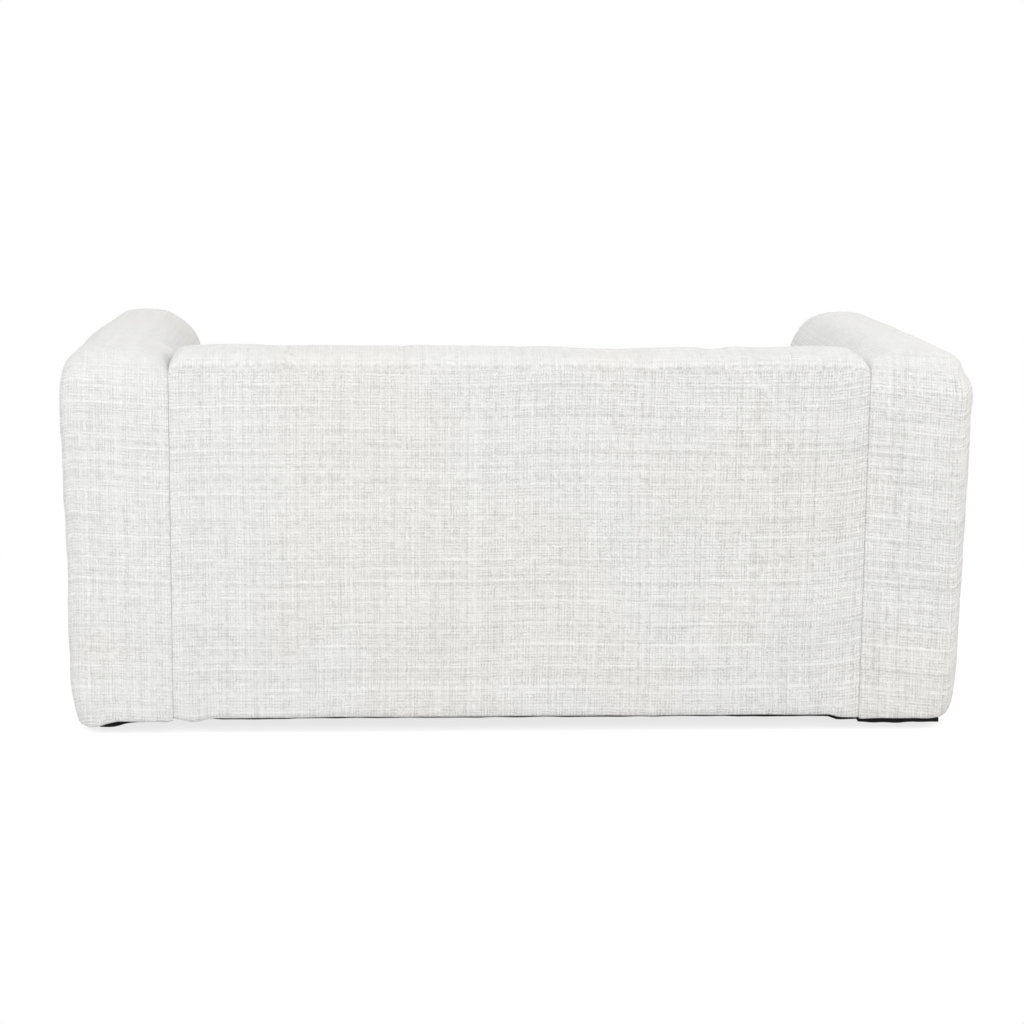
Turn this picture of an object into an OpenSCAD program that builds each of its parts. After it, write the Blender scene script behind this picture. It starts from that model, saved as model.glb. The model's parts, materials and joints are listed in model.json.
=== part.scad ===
// Two-seat tuxedo sofa: arms as high as the back, channelled back, two loose seat cushions.
// +Z is up and the sofa faces -Y. Its left is a sitter's left, at +X. The origin is on the
// floor under the middle. Every length is in millimetres.

/* [Overall] */
// Width over the outer faces of the arms
sofa_w = 1650; // [1400:10:2100]
// Depth from the front of the arms to the back
sofa_d = 900; // [840:5:960]
// Height of the crown of the arms above the floor
sofa_h = 700; // [660:5:760]
// Height of the ridge of the back above the crown of the arms
ridge_rise = 0; // [-20:1:30]
// Height of the crown of the seat above the floor
seat_h = 432; // [400:2:460]

/* [Arms] */
// Width of an arm
arm_w = 196; // [176:2:236]
// Height over which an arm rounds into its crown
arm_crown_h = 115; // [80:5:150]
// Length over which the front and rear ends of that crown round down
arm_crown_end = 60; // [30:5:90]
// How far the crown leans outwards
arm_lean = 20; // [0:1:24]
// Rounding of the front edges and of the outer rear edge of an arm
arm_edge_r = 42; // [20:1:50]
// Rounding of the rear edge of an arm where it meets the back
arm_seam_r = 22; // [8:1:30]
// How far the outer face of an arm slopes in on its way down
arm_splay = 8; // [0:1:20]
// How much further the outer face is drawn in at the hem
arm_tuck = 22; // [4:1:30]

/* [Back] */
// Number of upright channels sewn into the back
channels = 6; // [3:1:9]
// Thickness of a channel at its crown
channel_t = 62; // [44:1:72]
// Thickness of the channelled panel along its seams
channel_seam_t = 22; // [14:1:32]
// Thickness of the channelled panel over the ridge
ridge_t = 40; // [30:1:50]
// How far the ridge dips at each seam
ridge_dip = 3; // [0:1:10]
// Rounding of the rear edge of the ridge
ridge_rear_r = 31; // [24:1:44]
// Rounding of the front edge of the ridge
ridge_front_r = 55; // [35:1:70]
// Radius at which the ends of the ridge round down to the arms
ridge_end_r = 62; // [30:1:90]
// How far the front of the back leans to the rear
back_rake = 35; // [0:1:50]

/* [Seat cushions] */
// Rounding of the corners of a cushion seen from above
cushion_corner_r = 32; // [15:1:60]
// How far the front and the sides of a cushion draw in between its corners
cushion_draw = 6; // [0:1:12]
// Space between the two cushions and beside each arm
cushion_gap = 2; // [1:0.5:6]
// Space between the cushions and the channels of the back
cushion_back_gap = 5; // [4:0.5:12]

/* [Upholstery] */
// Thickness of the outer fabric
cover_t = 2; // [1:0.5:3]
// Foam on the inner face of an arm
arm_pad_in = 28; // [24:1:40]
// Foam on the front end of an arm
arm_pad_front = 32; // [26:1:45]
// Foam on the rear end of an arm
arm_pad_rear = 24; // [16:1:36]
// Foam over the top board of an arm
arm_pad_top = 77; // [65:1:100]
// Foam on the front of the seat
front_pad = 20; // [12:1:35]
// Set-back of the front of the seat from the front of the arms
front_setback = 22; // [5:1:40]
// Batting behind the rear cover
rear_pad = 10; // [6:1:14]
// Foam in front of the webbing at the foot of the back
back_foam_t = 118; // [90:1:130]
// Foam over the top rail of the back
top_roll_h = 42; // [30:1:50]
// Felt over the springs
felt_t = 4; // [2:0.5:6]
// Least thickness of the foam on the deck
deck_foam_t = 12; // [8:1:25]
// Thickness of the deck cloth
deck_cloth_t = 1.2; // [0.8:0.2:2]
// Thickness of the black lining under the sofa
lining_t = 3; // [2:0.5:4]

/* [Frame] */
// Thickness of the seat and back rails
rail_t = 25; // [20:1:30]
// Height of the seat rails
rail_h = 210; // [180:5:230]
// Depth of the back posts
post_d = 70; // [60:1:90]
// Thickness of the arm boards
board_t = 18; // [12:1:22]
// Thickness of the arm side panels
panel_t = 6; // [4:1:9]
// Leg of a corner block
block_leg = 70; // [40:5:90]
// Height of the foot rail of the back
foot_rail_h = 70; // [60:5:100]
// Height of the lumbar rail of the back
lumbar_rail_h = 40; // [30:5:60]

/* [Springs] */
// Number of sinuous springs under each cushion
springs_per_seat = 4; // [2:1:5]
// Width over the bends of a spring
spring_w = 52; // [44:1:60]
// Number of bends along a spring
spring_bends = 22; // [16:2:30]
// Diameter of the spring wire
wire_d = 3.8; // [3:0.1:4.5]
// Rise of a spring at its middle
spring_crown = 14; // [6:1:24]
// Diameter of the tie wires that cross the springs
tie_wire_d = 3; // [2:0.5:4]
// Width of a spring clip
clip_w = 16; // [10:1:20]

/* [Feet and fasteners] */
// Height of the glides under the arms
glide_h = 18; // [12:1:30]
// Diameter of a glide
glide_d = 45; // [36:1:60]
// Distance of the arm glides from the ends of the arm
glide_inset = 105; // [80:1:140]
// How much higher the hem of the seat and back is than the hem of the arms
base_rise = 7; // [4:1:14]
// Thread diameter of the bolts
bolt_d = 8; // [6:1:10]
// Distance between the two rows of arm bolts
bolt_row_pitch = 100; // [60:5:120]
// Distance of the arm bolts from the corner blocks
bolt_inset = 35; // [20:5:60]

/* [Hidden] */

// Colours
fabric_colour = "#e6e5e1";
deck_colour = "#d8d5cc";
foam_colour = "#efe3b4";
felt_colour = "#8d8a86";
wood_colour = "#c9a877";
steel_colour = "#9a9da1";
black_colour = "#1c1c1d";
webbing_colour = "#a98f63";

// Clearances
fit = 0.3;
arm_gap = 0.6;
thread_fit = 0.1;
cut_over = 5;

// Facets of round pieces
wire_fn = 24;
round_fn = 48;

// Outline of the whole sofa
half_w = sofa_w / 2;
half_d = sofa_d / 2;
back_h = sofa_h + ridge_rise;
arm_x = half_w - arm_w;
arm_hem_z = glide_h + lining_t;
base_hem_z = arm_hem_z + base_rise;
front_y = front_setback - half_d;

// Arm surface: levels up the side as shares of its height, then turns round the crown
side_shares = [0, 0.02, 0.055, 0.13, 0.35, 1];
tuck_power = 12;
crown_power = 0.8;
crown_turns = 7;
crown_stop = 84;
arm_shoulder_z = sofa_h - arm_crown_h;
arm_side_h = arm_shoulder_z - arm_hem_z;
corner_steps = 4;
cover_rim = 30;

// Arm frame
arm_pad_out = arm_splay + arm_tuck + 8 * fit + arm_edge_r / 6;
frame_x0 = arm_x + cover_t + arm_pad_in;
frame_x1 = half_w - cover_t - arm_pad_out;
frame_y0 = cover_t + arm_pad_front - half_d;
frame_y1 = half_d - cover_t - arm_pad_rear;
frame_z0 = arm_hem_z + cover_t;
frame_z1 = sofa_h - arm_pad_top;
rib_count = 3;

// Seat frame
base_x = arm_x - fit;
base_z = base_hem_z + cover_t;
rail_top = base_z + rail_h;
front_rail_y = front_y + cover_t + fit + front_pad + fit;
post_y1 = half_d - cover_t - fit - rear_pad - fit;
post_y0 = post_y1 - post_d;
rear_rail_y = post_y0 - rail_t;
webbing_t = 1.5;
webbing_y = post_y0 - 2 * webbing_t;
centre_rail_h = rail_h / 2;
block_h = rail_h * 2 / 3;

// Springs on their clips
wire_r = wire_d / 2;
tie_r = tie_wire_d / 2;
clip_t = 1.4;
clip_base_t = 2;
clip_base_l = 14;
clip_half = wire_r + fit + clip_t;
wire_z = rail_top + clip_base_t + fit + wire_r;
spring_y0 = front_rail_y + rail_t / 2;
spring_y1 = rear_rail_y + rail_t / 2;
spring_mid_y = (spring_y0 + spring_y1) / 2;
spring_span = spring_y1 - spring_y0;
arc_r = (pow(spring_span / 2, 2) + pow(spring_crown, 2)) / (2 * spring_crown);
arc_half = asin(spring_span / 2 / arc_r);
arc_z = wire_z + spring_crown - arc_r;
bend_r = arc_r * sin(arc_half / spring_bends);
bar_half = spring_w / 2 - bend_r;
bend_steps = 4;
seat_pitch = base_x / springs_per_seat;
tie_share = 1 / 3;
bracket_t = 3;
bracket_w = 12;

// Deck
arch_steps = 24;
felt_r0 = arc_r + wire_r + fit;
felt_r1 = felt_r0 + felt_t;
deck_foam_r = felt_r1 + fit;
deck_foam_z = arc_z + deck_foam_r + deck_foam_t;
deck_z = deck_foam_z + fit + deck_cloth_t;
deck_y0 = front_y + cover_t + fit + front_pad + fit;
deck_y1 = webbing_y - fit;
felt_y0 = spring_y0 + clip_base_l / 2 + fit;
felt_y1 = spring_y1 - clip_base_l / 2 - fit;
border_edge_r = front_pad;

// Back
back_x = arm_x - arm_gap;
post_x = back_x - cover_t - fit;
frame_top_z = back_h - top_roll_h - ridge_t;
roll_top_z = frame_top_z + fit + top_roll_h;
webbing_w = 50;
webbing_rows = 3;
foam_y1 = webbing_y - fit;
foam_y0 = foam_y1 - back_foam_t;
foam_z0 = deck_z + fit;
foam_top_y0 = foam_y0 + back_rake;
roll_bevel = 10;
channel_w = 2 * back_x / channels;
lobe_shares = [-1, -0.88, -0.55, 0, 0.55, 0.88];
lobe_power = 2.6;
seam_z = back_h - ridge_rear_r;
seam_gap = 1.5;
ridge_end_share = 0.12;
panel_foot_r = 10;
rear_corner_r = half_d - post_y1;
rear_return_w = 40;
stile_share = 1 / 3;

// Seat cushions: levels as shares of the height, with insets as shares of half the depth
cushion_shares = [[0, 0.09], [0.03, 0.03], [0.1, 0.004], [0.42, 0], [0.82, 0.01],
    [0.88, 0.05], [0.935, 0.17], [0.97, 0.4], [0.99, 0.7]];
draw_shares = [0.25, 0.5, 0.75];
cushion_z0 = deck_z + fit;
cushion_h = seat_h - cushion_z0;
cushion_x0 = cushion_gap / 2;
cushion_x1 = arm_x - cushion_gap;
cushion_overhang = 8;
cushion_y0 = front_y - cushion_overhang;
cushion_y1 = foam_y0 - channel_t - cushion_back_gap;
cushion_mid = [(cushion_x0 + cushion_x1) / 2, (cushion_y0 + cushion_y1) / 2];

// Zip in the rear of a cushion
zip_h = 8;
zip_stop = 4;
zip_l = (cushion_x1 - cushion_x0) * 0.75;
zip_z = cushion_z0 + cushion_h * 0.4;
slider_l = 14;
slider_h = 12;
slider_t = 2;
pull_l = 24;
pull_w = 7;
pull_t = 1.4;

// Fasteners and glides
bolt_r = bolt_d / 2;
bolt_hole_r = bolt_r + fit;
bolt_head_h = bolt_d * 0.65;
bolt_head_r = bolt_d * 0.8;
washer_t = 1.6;
washer_r = bolt_d * 1.1;
tee_r = bolt_r + 1.2;
tee_flange_r = bolt_d * 1.3;
tee_flange_t = 1.5;
tee_l = 14;
bolt_z = base_z + rail_h / 2;
bolt_ys = [front_rail_y + rail_t + block_leg + bolt_inset, rear_rail_y - block_leg - bolt_inset];
bolt_margin = 30;
back_bolt_shares = [-0.72, -0.2, 0.2, 0.72];
screw_r = 2.2;
screw_head_r = 4.5;
screw_head_h = 3;
screw_hold = 15;
glide_sole = 2;
arm_mid_x = (frame_x0 + frame_x1) / 2;
arm_glide_y = half_d - glide_inset;
front_glide_y = front_rail_y + rail_t / 2;
rear_glide_y = rear_rail_y - glide_d / 2 - cut_over;
lining_inset = 8;

// Draws children on the sitter's left, or mirrored on the right
module on_side(side) {
    if (side > 0) children();
    else mirror([1, 0, 0]) children();
}

// Box between two corners
module block(a, b) {
    translate(a) cube(b - a);
}

// Extrudes an outline drawn in Y and Z along X, centred
module along_x(length) {
    rotate([90, 0, 90]) translate([0, 0, -length / 2]) linear_extrude(length) children();
}

// Square with corners rounded where the list of radii says, from the low corner round
module rounded_square(a, b, radii) {
    difference() {
        translate(a) square(b - a);
        for (k = [0 : 3])
            if (radii[k] > 0) {
                corner = [k == 0 || k == 3 ? a.x : b.x, k < 2 ? a.y : b.y];
                turn = [k == 0 || k == 3 ? 1 : -1, k < 2 ? 1 : -1];
                translate(corner) scale_sign(turn) difference() {
                    translate([-cut_over, -cut_over]) square(radii[k] + cut_over);
                    translate([radii[k], radii[k]]) circle(radii[k], $fn = round_fn);
                }
            }
    }
}

// Mirrors an outline into the quarter given by the signs
module scale_sign(turn) {
    mirror([turn.x < 0 ? 1 : 0, 0]) mirror([0, turn.y < 0 ? 1 : 0]) children();
}

// Closed skin over rings of points that turn anticlockwise seen from their far side
module skin(rings, low, high) {
    n = len(rings[0]);
    m = len(rings);
    points = concat([for (ring = rings) each ring], [low, high]);
    sides = [for (j = [0 : m - 2], i = [0 : n - 1])
        let (a = j * n + i, b = j * n + (i + 1) % n, c = a + n, d = b + n)
            each [[a, c, d], [a, d, b]]];
    first_cap = [for (i = [0 : n - 1]) [n * m, i, (i + 1) % n]];
    last_row = n * (m - 1);
    last_cap = [for (i = [0 : n - 1]) [n * m + 1, last_row + (i + 1) % n, last_row + i]];
    polyhedron(points, concat(sides, first_cap, last_cap), convexity = 6);
}

// Quarter turn of points for one corner of a ring
function corner_arc(x, y, r, from, z) = [for (k = [0 : corner_steps])
    let (turn = from + 90 * k / corner_steps) [x + r * cos(turn), y + r * sin(turn), z]];

// Ring round an arm on the left, from its outer front corner, inset from the outer fabric
function arm_ring(x0, x1, y0, y1, outer_r, inner_r, z) =
    let (most = (x1 - x0) * 0.49, ro = min(outer_r, most), ri = min(inner_r, most))
    concat(
        corner_arc(x1 - ro, y0 + ro, ro, -90, z),
        corner_arc(x1 - ro, y1 - ro, ro, 0, z),
        corner_arc(x0 + ri, y1 - ri, ri, 90, z),
        corner_arc(x0 + ro, y0 + ro, ro, 180, z));

function arm_tuck_at(z) = let (below = 1 - min(1, (z - arm_hem_z) / arm_side_h))
    arm_splay * below + arm_tuck * pow(below, tuck_power);

// Rings up the sides of an arm, from the hem or from a level above it
function arm_side_rings(inset, low_z) = [for (share = side_shares)
    let (z = low_z + share * (arm_shoulder_z - low_z))
    arm_ring(arm_x + inset, half_w - arm_tuck_at(z) - inset, inset - half_d,
        half_d - inset, arm_edge_r - inset, arm_seam_r - inset, z)];

// Rings over the crown of an arm
function arm_crown_rings(inset) = [for (k = [1 : crown_turns])
    let (turn = crown_stop * k / crown_turns,
        across = pow(cos(turn), crown_power),
        up = pow(sin(turn), crown_power),
        half = (arm_w / 2 - inset) * across,
        mid = half_w - arm_w / 2 + arm_lean * up * up,
        end = half_d - inset - arm_crown_end * (1 - across))
    arm_ring(mid - half, mid + half, -end, end, (arm_edge_r - inset) * (0.4 + 0.6 * across),
        (arm_seam_r - inset) * (0.4 + 0.6 * across), arm_shoulder_z + (arm_crown_h - inset) * up)];

function arm_rings(inset, low_z) = concat(arm_side_rings(inset, low_z), arm_crown_rings(inset));

function reversed(list) = [for (k = [len(list) - 1 : -1 : 0]) list[k]];

// Ring of a cushion at a level, with its front and sides drawn in between the corners
function cushion_ring(inset, draw, z) =
    let (r = max(cushion_corner_r - inset / 4, cushion_corner_r / 4),
        x0 = cushion_x0 + inset, x1 = cushion_x1 - inset,
        y0 = cushion_y0 + inset, y1 = cushion_y1 - inset)
    concat(
        corner_arc(x1 - r, y0 + r, r, -90, z),
        [for (s = draw_shares) [x1 - draw * sin(180 * s), y0 + r + s * (y1 - y0 - 2 * r), z]],
        corner_arc(x1 - r, y1 - r, r, 0, z),
        [for (s = draw_shares) [x1 - r - s * (x1 - x0 - 2 * r), y1, z]],
        corner_arc(x0 + r, y1 - r, r, 90, z),
        [for (s = draw_shares) [x0 + draw * sin(180 * s), y1 - r - s * (y1 - y0 - 2 * r), z]],
        corner_arc(x0 + r, y0 + r, r, 180, z),
        [for (s = draw_shares) [x0 + r + s * (x1 - x0 - 2 * r), y0 + draw * sin(180 * s), z]]);

module cushion_solid(inset) {
    half = (cushion_y1 - cushion_y0) / 2;
    height = cushion_h - 2 * inset;
    low = cushion_z0 + inset;
    rings = [for (level = cushion_shares)
        cushion_ring(inset + level[1] * half,
            cushion_draw * sin(180 * min(1, level[0])), low + level[0] * height)];
    skin(rings, [cushion_mid.x, cushion_mid.y, low],
        [cushion_mid.x, cushion_mid.y, low + height]);
}

// Seat frame
module seat_front_rail() {
    color(wood_colour) difference() {
        block([-base_x, front_rail_y, base_z], [base_x, front_rail_y + rail_t, rail_top]);
        screw_hole([0, front_glide_y], base_z);
    }
}

module seat_rear_rail() {
    color(wood_colour) difference() {
        block([-base_x, rear_rail_y, base_z], [base_x, post_y0, rail_top]);
        for (share = back_bolt_shares)
            translate([share * post_x, 0, base_z + foot_rail_h / 2])
                bolt_hole_y(rear_rail_y, post_y0);
    }
}

module seat_side_rail(side) {
    color(wood_colour) on_side(side) difference() {
        block([base_x - rail_t, front_rail_y + rail_t, base_z], [base_x, rear_rail_y, rail_top]);
        arm_bolt_places() bolt_hole_x(base_x - rail_t, base_x);
    }
}

module seat_centre_rail() {
    color(wood_colour) difference() {
        block([-rail_t / 2, front_rail_y + rail_t, base_z],
            [rail_t / 2, rear_rail_y, base_z + centre_rail_h]);
        screw_hole([0, rear_glide_y], base_z);
    }
}

module corner_blocks() {
    inner_x = base_x - rail_t;
    color(wood_colour) for (side = [-1, 1], end = [0, 1])
        on_side(side) translate([inner_x, end == 0 ? front_rail_y + rail_t : rear_rail_y,
            base_z + (rail_h - block_h) / 2])
            linear_extrude(block_h)
                polygon([[0, 0], [-block_leg, 0], [0, end == 0 ? block_leg : -block_leg]]);
}

// Sinuous springs: flat wire in straight bars along X and half turns, on a shallow arch
function arch_point(k) = let (turn = arc_half * (2 * k / spring_bends - 1))
    [spring_mid_y + arc_r * sin(turn), arc_z + arc_r * cos(turn)];
function arch_z(y) = arc_z + sqrt(pow(arc_r, 2) - pow(y - spring_mid_y, 2));
function spring_places() = [for (side = [-1, 1], k = [0 : springs_per_seat - 1])
    side * (k + 0.5) * seat_pitch];

// One edge of the wire's outline seen from above: an arc for each bend, by turns to each side
function spring_edge(hand) = [for (k = [0 : spring_bends - 1])
    let (p = (arch_point(k) + arch_point(k + 1)) / 2, turn_to = k % 2 == 0 ? 1 : -1)
        for (a = [-90 : 180 / bend_steps : 90])
            [turn_to * (bar_half + (bend_r - hand * turn_to * wire_r) * cos(a)),
                p[0] + (bend_r - hand * turn_to * wire_r) * sin(a)]];

module seat_springs() {
    first = arch_point(0);
    last = arch_point(spring_bends);
    hand = spring_bends % 2 == 0 ? 1 : -1;
    outline = concat([[-bar_half, first[0] + wire_r]], spring_edge(1),
        [[hand * bar_half, last[0] + wire_r], [hand * bar_half, last[0] - wire_r]],
        reversed(spring_edge(-1)), [[-bar_half, first[0] - wire_r]]);
    color(steel_colour) intersection() {
        for (x = spring_places()) translate([x, 0, rail_top]) linear_extrude(rail_h)
            polygon(outline);
        along_x(2 * base_x) polygon(concat(arch_line(arc_r - wire_r, spring_y0 - rail_t,
            spring_y1 + rail_t), reversed(arch_line(arc_r + wire_r, spring_y0 - rail_t,
            spring_y1 + rail_t))));
    }
}

// Clip that holds the end bar of a spring on a rail
module spring_clips() {
    color(steel_colour) for (x = spring_places(), y = [spring_y0, spring_y1])
        translate([x, y, rail_top]) along_x(clip_w) difference() {
            union() {
                translate([-clip_half, 0]) square([2 * clip_half, wire_z - rail_top + clip_half]);
                translate([-clip_base_l / 2, 0]) square([clip_base_l, clip_base_t]);
            }
            translate([-wire_r - fit, clip_base_t]) square(2 * (wire_r + fit));
        }
}

// Two wires under the springs, each held at its ends by a bracket on a side rail
module spring_tie_wires() {
    wire_x = base_x - rail_t / 2;
    color(steel_colour) for (hand = [-1, 1]) {
        y = spring_mid_y + hand * spring_span / 2 * tie_share;
        z = arch_z(y) - wire_r - tie_r - thread_fit;
        translate([0, y, z]) rotate([0, 90, 0])
            cylinder(h = 2 * wire_x, r = tie_r, center = true, $fn = wire_fn);
        for (side = [-1, 1]) translate([side * (wire_x - bracket_t), y, 0]) difference() {
            block([-bracket_t / 2, -bracket_w / 2, rail_top],
                [bracket_t / 2, bracket_w / 2, z + tie_r + thread_fit + bracket_t / 3]);
            translate([0, 0, z]) rotate([0, 90, 0])
                cylinder(h = 2 * bracket_t, r = tie_r + thread_fit, center = true, $fn = wire_fn);
        }
    }
}

// Deck over the springs: points along an arch of a given radius, from front to rear
function arch_line(r, y0, y1) = [for (k = [0 : arch_steps])
    let (y = y0 + (y1 - y0) * k / arch_steps)
    [y, arc_z + sqrt(pow(r, 2) - pow(y - spring_mid_y, 2))]];

module spring_felt() {
    color(felt_colour) along_x(2 * (base_x - rail_t))
        polygon(concat(arch_line(felt_r0, felt_y0, felt_y1),
            reversed(arch_line(felt_r1, felt_y0, felt_y1))));
}

module deck_foam() {
    color(foam_colour) along_x(2 * (back_x - fit))
        polygon(concat(arch_line(deck_foam_r, deck_y0, deck_y1),
            [[deck_y1, deck_foam_z], [deck_y0, deck_foam_z]]));
}

module deck_cloth() {
    color(deck_colour) block([-back_x, deck_y0, deck_foam_z + fit], [back_x, deck_y1, deck_z]);
}

// Front of the seat
module front_border_pad() {
    y0 = front_y + cover_t + fit;
    color(foam_colour) along_x(2 * (back_x - fit))
        rounded_square([y0, base_z], [y0 + front_pad, deck_z - cover_t - fit],
            [0, 0, 0, border_edge_r]);
}

module front_border_cover() {
    color(fabric_colour) difference() {
        along_x(2 * back_x) union() {
            difference() {
                rounded_square([front_y, base_hem_z], [deck_y0 - fit, deck_z],
                    [0, 0, 0, border_edge_r + cover_t + fit]);
                rounded_square([front_y + cover_t, base_z - cut_over],
                    [deck_y0 + cut_over, deck_z - cover_t], [0, 0, 0, border_edge_r + fit]);
            }
            translate([front_y, base_hem_z])
                square([front_rail_y + rail_t - front_y, cover_t]);
        }
        screw_hole([0, front_glide_y], base_hem_z);
    }
}

// Back frame
module back_post(side) {
    color(wood_colour) on_side(side) block([post_x - rail_t, post_y0, base_z],
        [post_x, post_y1, frame_top_z - rail_t]);
}

module back_top_rail() {
    color(wood_colour) block([-post_x, post_y0, frame_top_z - rail_t],
        [post_x, post_y1, frame_top_z]);
}

module back_lumbar_rail() {
    color(wood_colour) block([rail_t - post_x, post_y0, deck_z - lumbar_rail_h / 2],
        [post_x - rail_t, post_y0 + rail_t, deck_z + lumbar_rail_h / 2]);
}

module back_foot_rail() {
    color(wood_colour) difference() {
        block([rail_t - post_x, post_y0, base_z],
            [post_x - rail_t, post_y0 + rail_t, base_z + foot_rail_h]);
        for (share = back_bolt_shares)
            translate([share * post_x, 0, base_z + foot_rail_h / 2])
                bolt_hole_y(post_y0, post_y0 + rail_t);
    }
}

module back_stiles() {
    color(wood_colour) for (hand = [-1, 1]) translate([hand * post_x * stile_share, 0, 0])
        block([-rail_t / 2, post_y0 + rail_t, base_z], [rail_t / 2, post_y1, frame_top_z - rail_t]);
}

// Upright straps on the rails, with level straps laid across their front
module back_webbing() {
    low = deck_z - lumbar_rail_h / 2;
    color(webbing_colour) {
        for (k = [0 : channels - 1])
            translate([(k + 0.5) * channel_w - back_x, 0, 0])
                block([-webbing_w / 2, post_y0 - webbing_t, low],
                    [webbing_w / 2, post_y0, frame_top_z - webbing_t]);
        for (k = [1 : webbing_rows])
            translate([0, 0, low + (frame_top_z - low) * k / (webbing_rows + 1)])
                block([-post_x, webbing_y, -webbing_w / 2],
                    [post_x, post_y0 - webbing_t, webbing_w / 2]);
    }
}

module back_foam() {
    color(foam_colour) along_x(2 * (back_x - fit))
        polygon([[foam_y0, foam_z0], [foam_y1, foam_z0], [foam_y1, frame_top_z],
            [foam_top_y0, frame_top_z]]);
}

module back_top_roll() {
    color(foam_colour) along_x(2 * post_x)
        polygon([[foam_top_y0, frame_top_z + fit], [post_y1, frame_top_z + fit],
            [post_y1, roll_top_z], [foam_top_y0 + roll_bevel, roll_top_z],
            [foam_top_y0, roll_top_z - roll_bevel]]);
}

// Channelled panel: one closed loop in Y and Z for each station along X
function lobe(u) = sqrt(1 - pow(abs(u), lobe_power));
function ridge_share(x) = let (over = max(0, abs(x) - back_x + ridge_end_r) / ridge_end_r)
    ridge_end_share + (1 - ridge_end_share) * sqrt(max(0, 1 - over * over));
function slab_y(z) = foam_y0 + back_rake * (z - foam_z0) / (frame_top_z - foam_z0) - fit;

function panel_outer(x, b) =
    let (thick = channel_seam_t + (channel_t - channel_seam_t) * b,
        top = seam_z + (ridge_rear_r - ridge_dip * (1 - b)) * ridge_share(x),
        rise = top - seam_z,
        front = foam_top_y0 - fit - thick,
        low = top - ridge_front_r,
        foot = foam_z0 + panel_foot_r)
    concat(
        [for (k = [0 : 3]) [half_d - ridge_rear_r * (1 - cos(30 * k)), seam_z + rise * sin(30 * k)]],
        [[(half_d + front) / 2, top]],
        [for (k = [0 : 3]) [front + ridge_front_r * (1 - sin(30 * k)), low + ridge_front_r * cos(30 * k)]],
        [[slab_y((low + foot) / 2) - thick, (low + foot) / 2],
            [slab_y(foot) - thick, foot],
            [slab_y(foam_z0) - thick + panel_foot_r, foam_z0]]);

function panel_inner() =
    let (rear = post_y1 + fit, front = foam_top_y0 - fit, top = roll_top_z + fit,
        mid_z = (frame_top_z + foam_z0) / 2)
    [[rear, top], [rear - roll_bevel, top], [rear - 2 * roll_bevel, top],
        [rear - 3 * roll_bevel, top], [(rear + front) / 2, top],
        [front + 3 * roll_bevel, top], [front + roll_bevel, top],
        [front, top - roll_bevel], [front, frame_top_z],
        [slab_y(mid_z), mid_z], [slab_y(foam_z0 + panel_foot_r), foam_z0 + panel_foot_r],
        [slab_y(foam_z0), foam_z0]];

module channel_panel() {
    stations = concat([for (c = [0 : channels - 1], u = lobe_shares)
        [(c + 0.5 + u / 2) * channel_w - back_x, lobe(u)]], [[back_x, 0]]);
    inner = panel_inner();
    rows = len(inner);
    n = 2 * rows;
    m = len(stations);
    points = [for (s = stations) each
        [for (p = concat(panel_outer(s[0], s[1]), reversed(inner))) [s[0], p[0], p[1]]]];
    sides = [for (j = [0 : m - 2], i = [0 : n - 1])
        let (a = j * n + i, b = j * n + (i + 1) % n, c = a + n, d = b + n)
            each [[a, c, d], [a, d, b]]];
    last = n * (m - 1);
    first_cap = [for (i = [0 : rows - 2]) let (a = i, b = i + 1, c = n - 2 - i, d = n - 1 - i)
        each [[a, b, c], [a, c, d]]];
    last_cap = [for (face = first_cap) [last + face[2], last + face[1], last + face[0]]];
    color(fabric_colour) polyhedron(points, concat(sides, first_cap, last_cap), convexity = 8);
}

// Rear of the back: plan of its fabric, from a depth in front of the posts' rear faces
module rear_outline(inset, depth) {
    rounded_square([inset - back_x, post_y1 - depth], [back_x - inset, half_d - inset],
        [0, 0, rear_corner_r - inset, rear_corner_r - inset]);
}

module rear_batting() {
    color(foam_colour) translate([0, 0, base_z + fit])
        linear_extrude(roll_top_z - base_z - fit) rear_outline(cover_t + fit, -fit);
}

module rear_cover() {
    color(fabric_colour) difference() {
        translate([0, 0, base_hem_z]) linear_extrude(seam_z - seam_gap - base_hem_z)
            rear_outline(0, rear_return_w);
        translate([0, 0, base_z]) linear_extrude(back_h) rear_outline(cover_t, rear_return_w + cut_over);
        block([-back_x - cut_over, post_y1 - rear_return_w - cut_over, roll_top_z],
            [back_x + cut_over, half_d - cover_t, back_h]);
    }
}

// Bolt shafts and holes
module bolt_hole_x(x0, x1) {
    translate([x0 - cut_over, 0, 0]) rotate([0, 90, 0])
        cylinder(h = x1 - x0 + 2 * cut_over, r = bolt_hole_r, $fn = round_fn);
}

module bolt_hole_y(y0, y1) {
    translate([0, y1 + cut_over, 0]) rotate([90, 0, 0])
        cylinder(h = y1 - y0 + 2 * cut_over, r = bolt_hole_r, $fn = round_fn);
}

module arm_bolt_places() {
    for (y = bolt_ys, row = [-0.5, 0.5])
        translate([0, y, bolt_z + row * bolt_row_pitch]) children();
}

module hex(width_r, height) {
    cylinder(h = height, r = width_r, $fn = 6);
}

module back_bolts() {
    nut_y = post_y0 + rail_t;
    color(steel_colour) for (share = back_bolt_shares)
        translate([share * post_x, 0, base_z + foot_rail_h / 2]) {
            translate([0, nut_y + bolt_head_h + bolt_d / 4, 0]) rotate([90, 0, 0])
                cylinder(h = nut_y + bolt_head_h + bolt_d / 4 - rear_rail_y, r = bolt_r,
                    $fn = round_fn);
            translate([0, rear_rail_y, 0]) rotate([90, 0, 0]) hex(bolt_head_r, bolt_head_h);
            translate([0, nut_y + bolt_head_h, 0]) rotate([90, 0, 0]) difference() {
                hex(bolt_head_r, bolt_head_h);
                translate([0, 0, -cut_over])
                    cylinder(h = bolt_head_h + 2 * cut_over, r = bolt_r + thread_fit,
                        $fn = round_fn);
            }
        }
}

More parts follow.
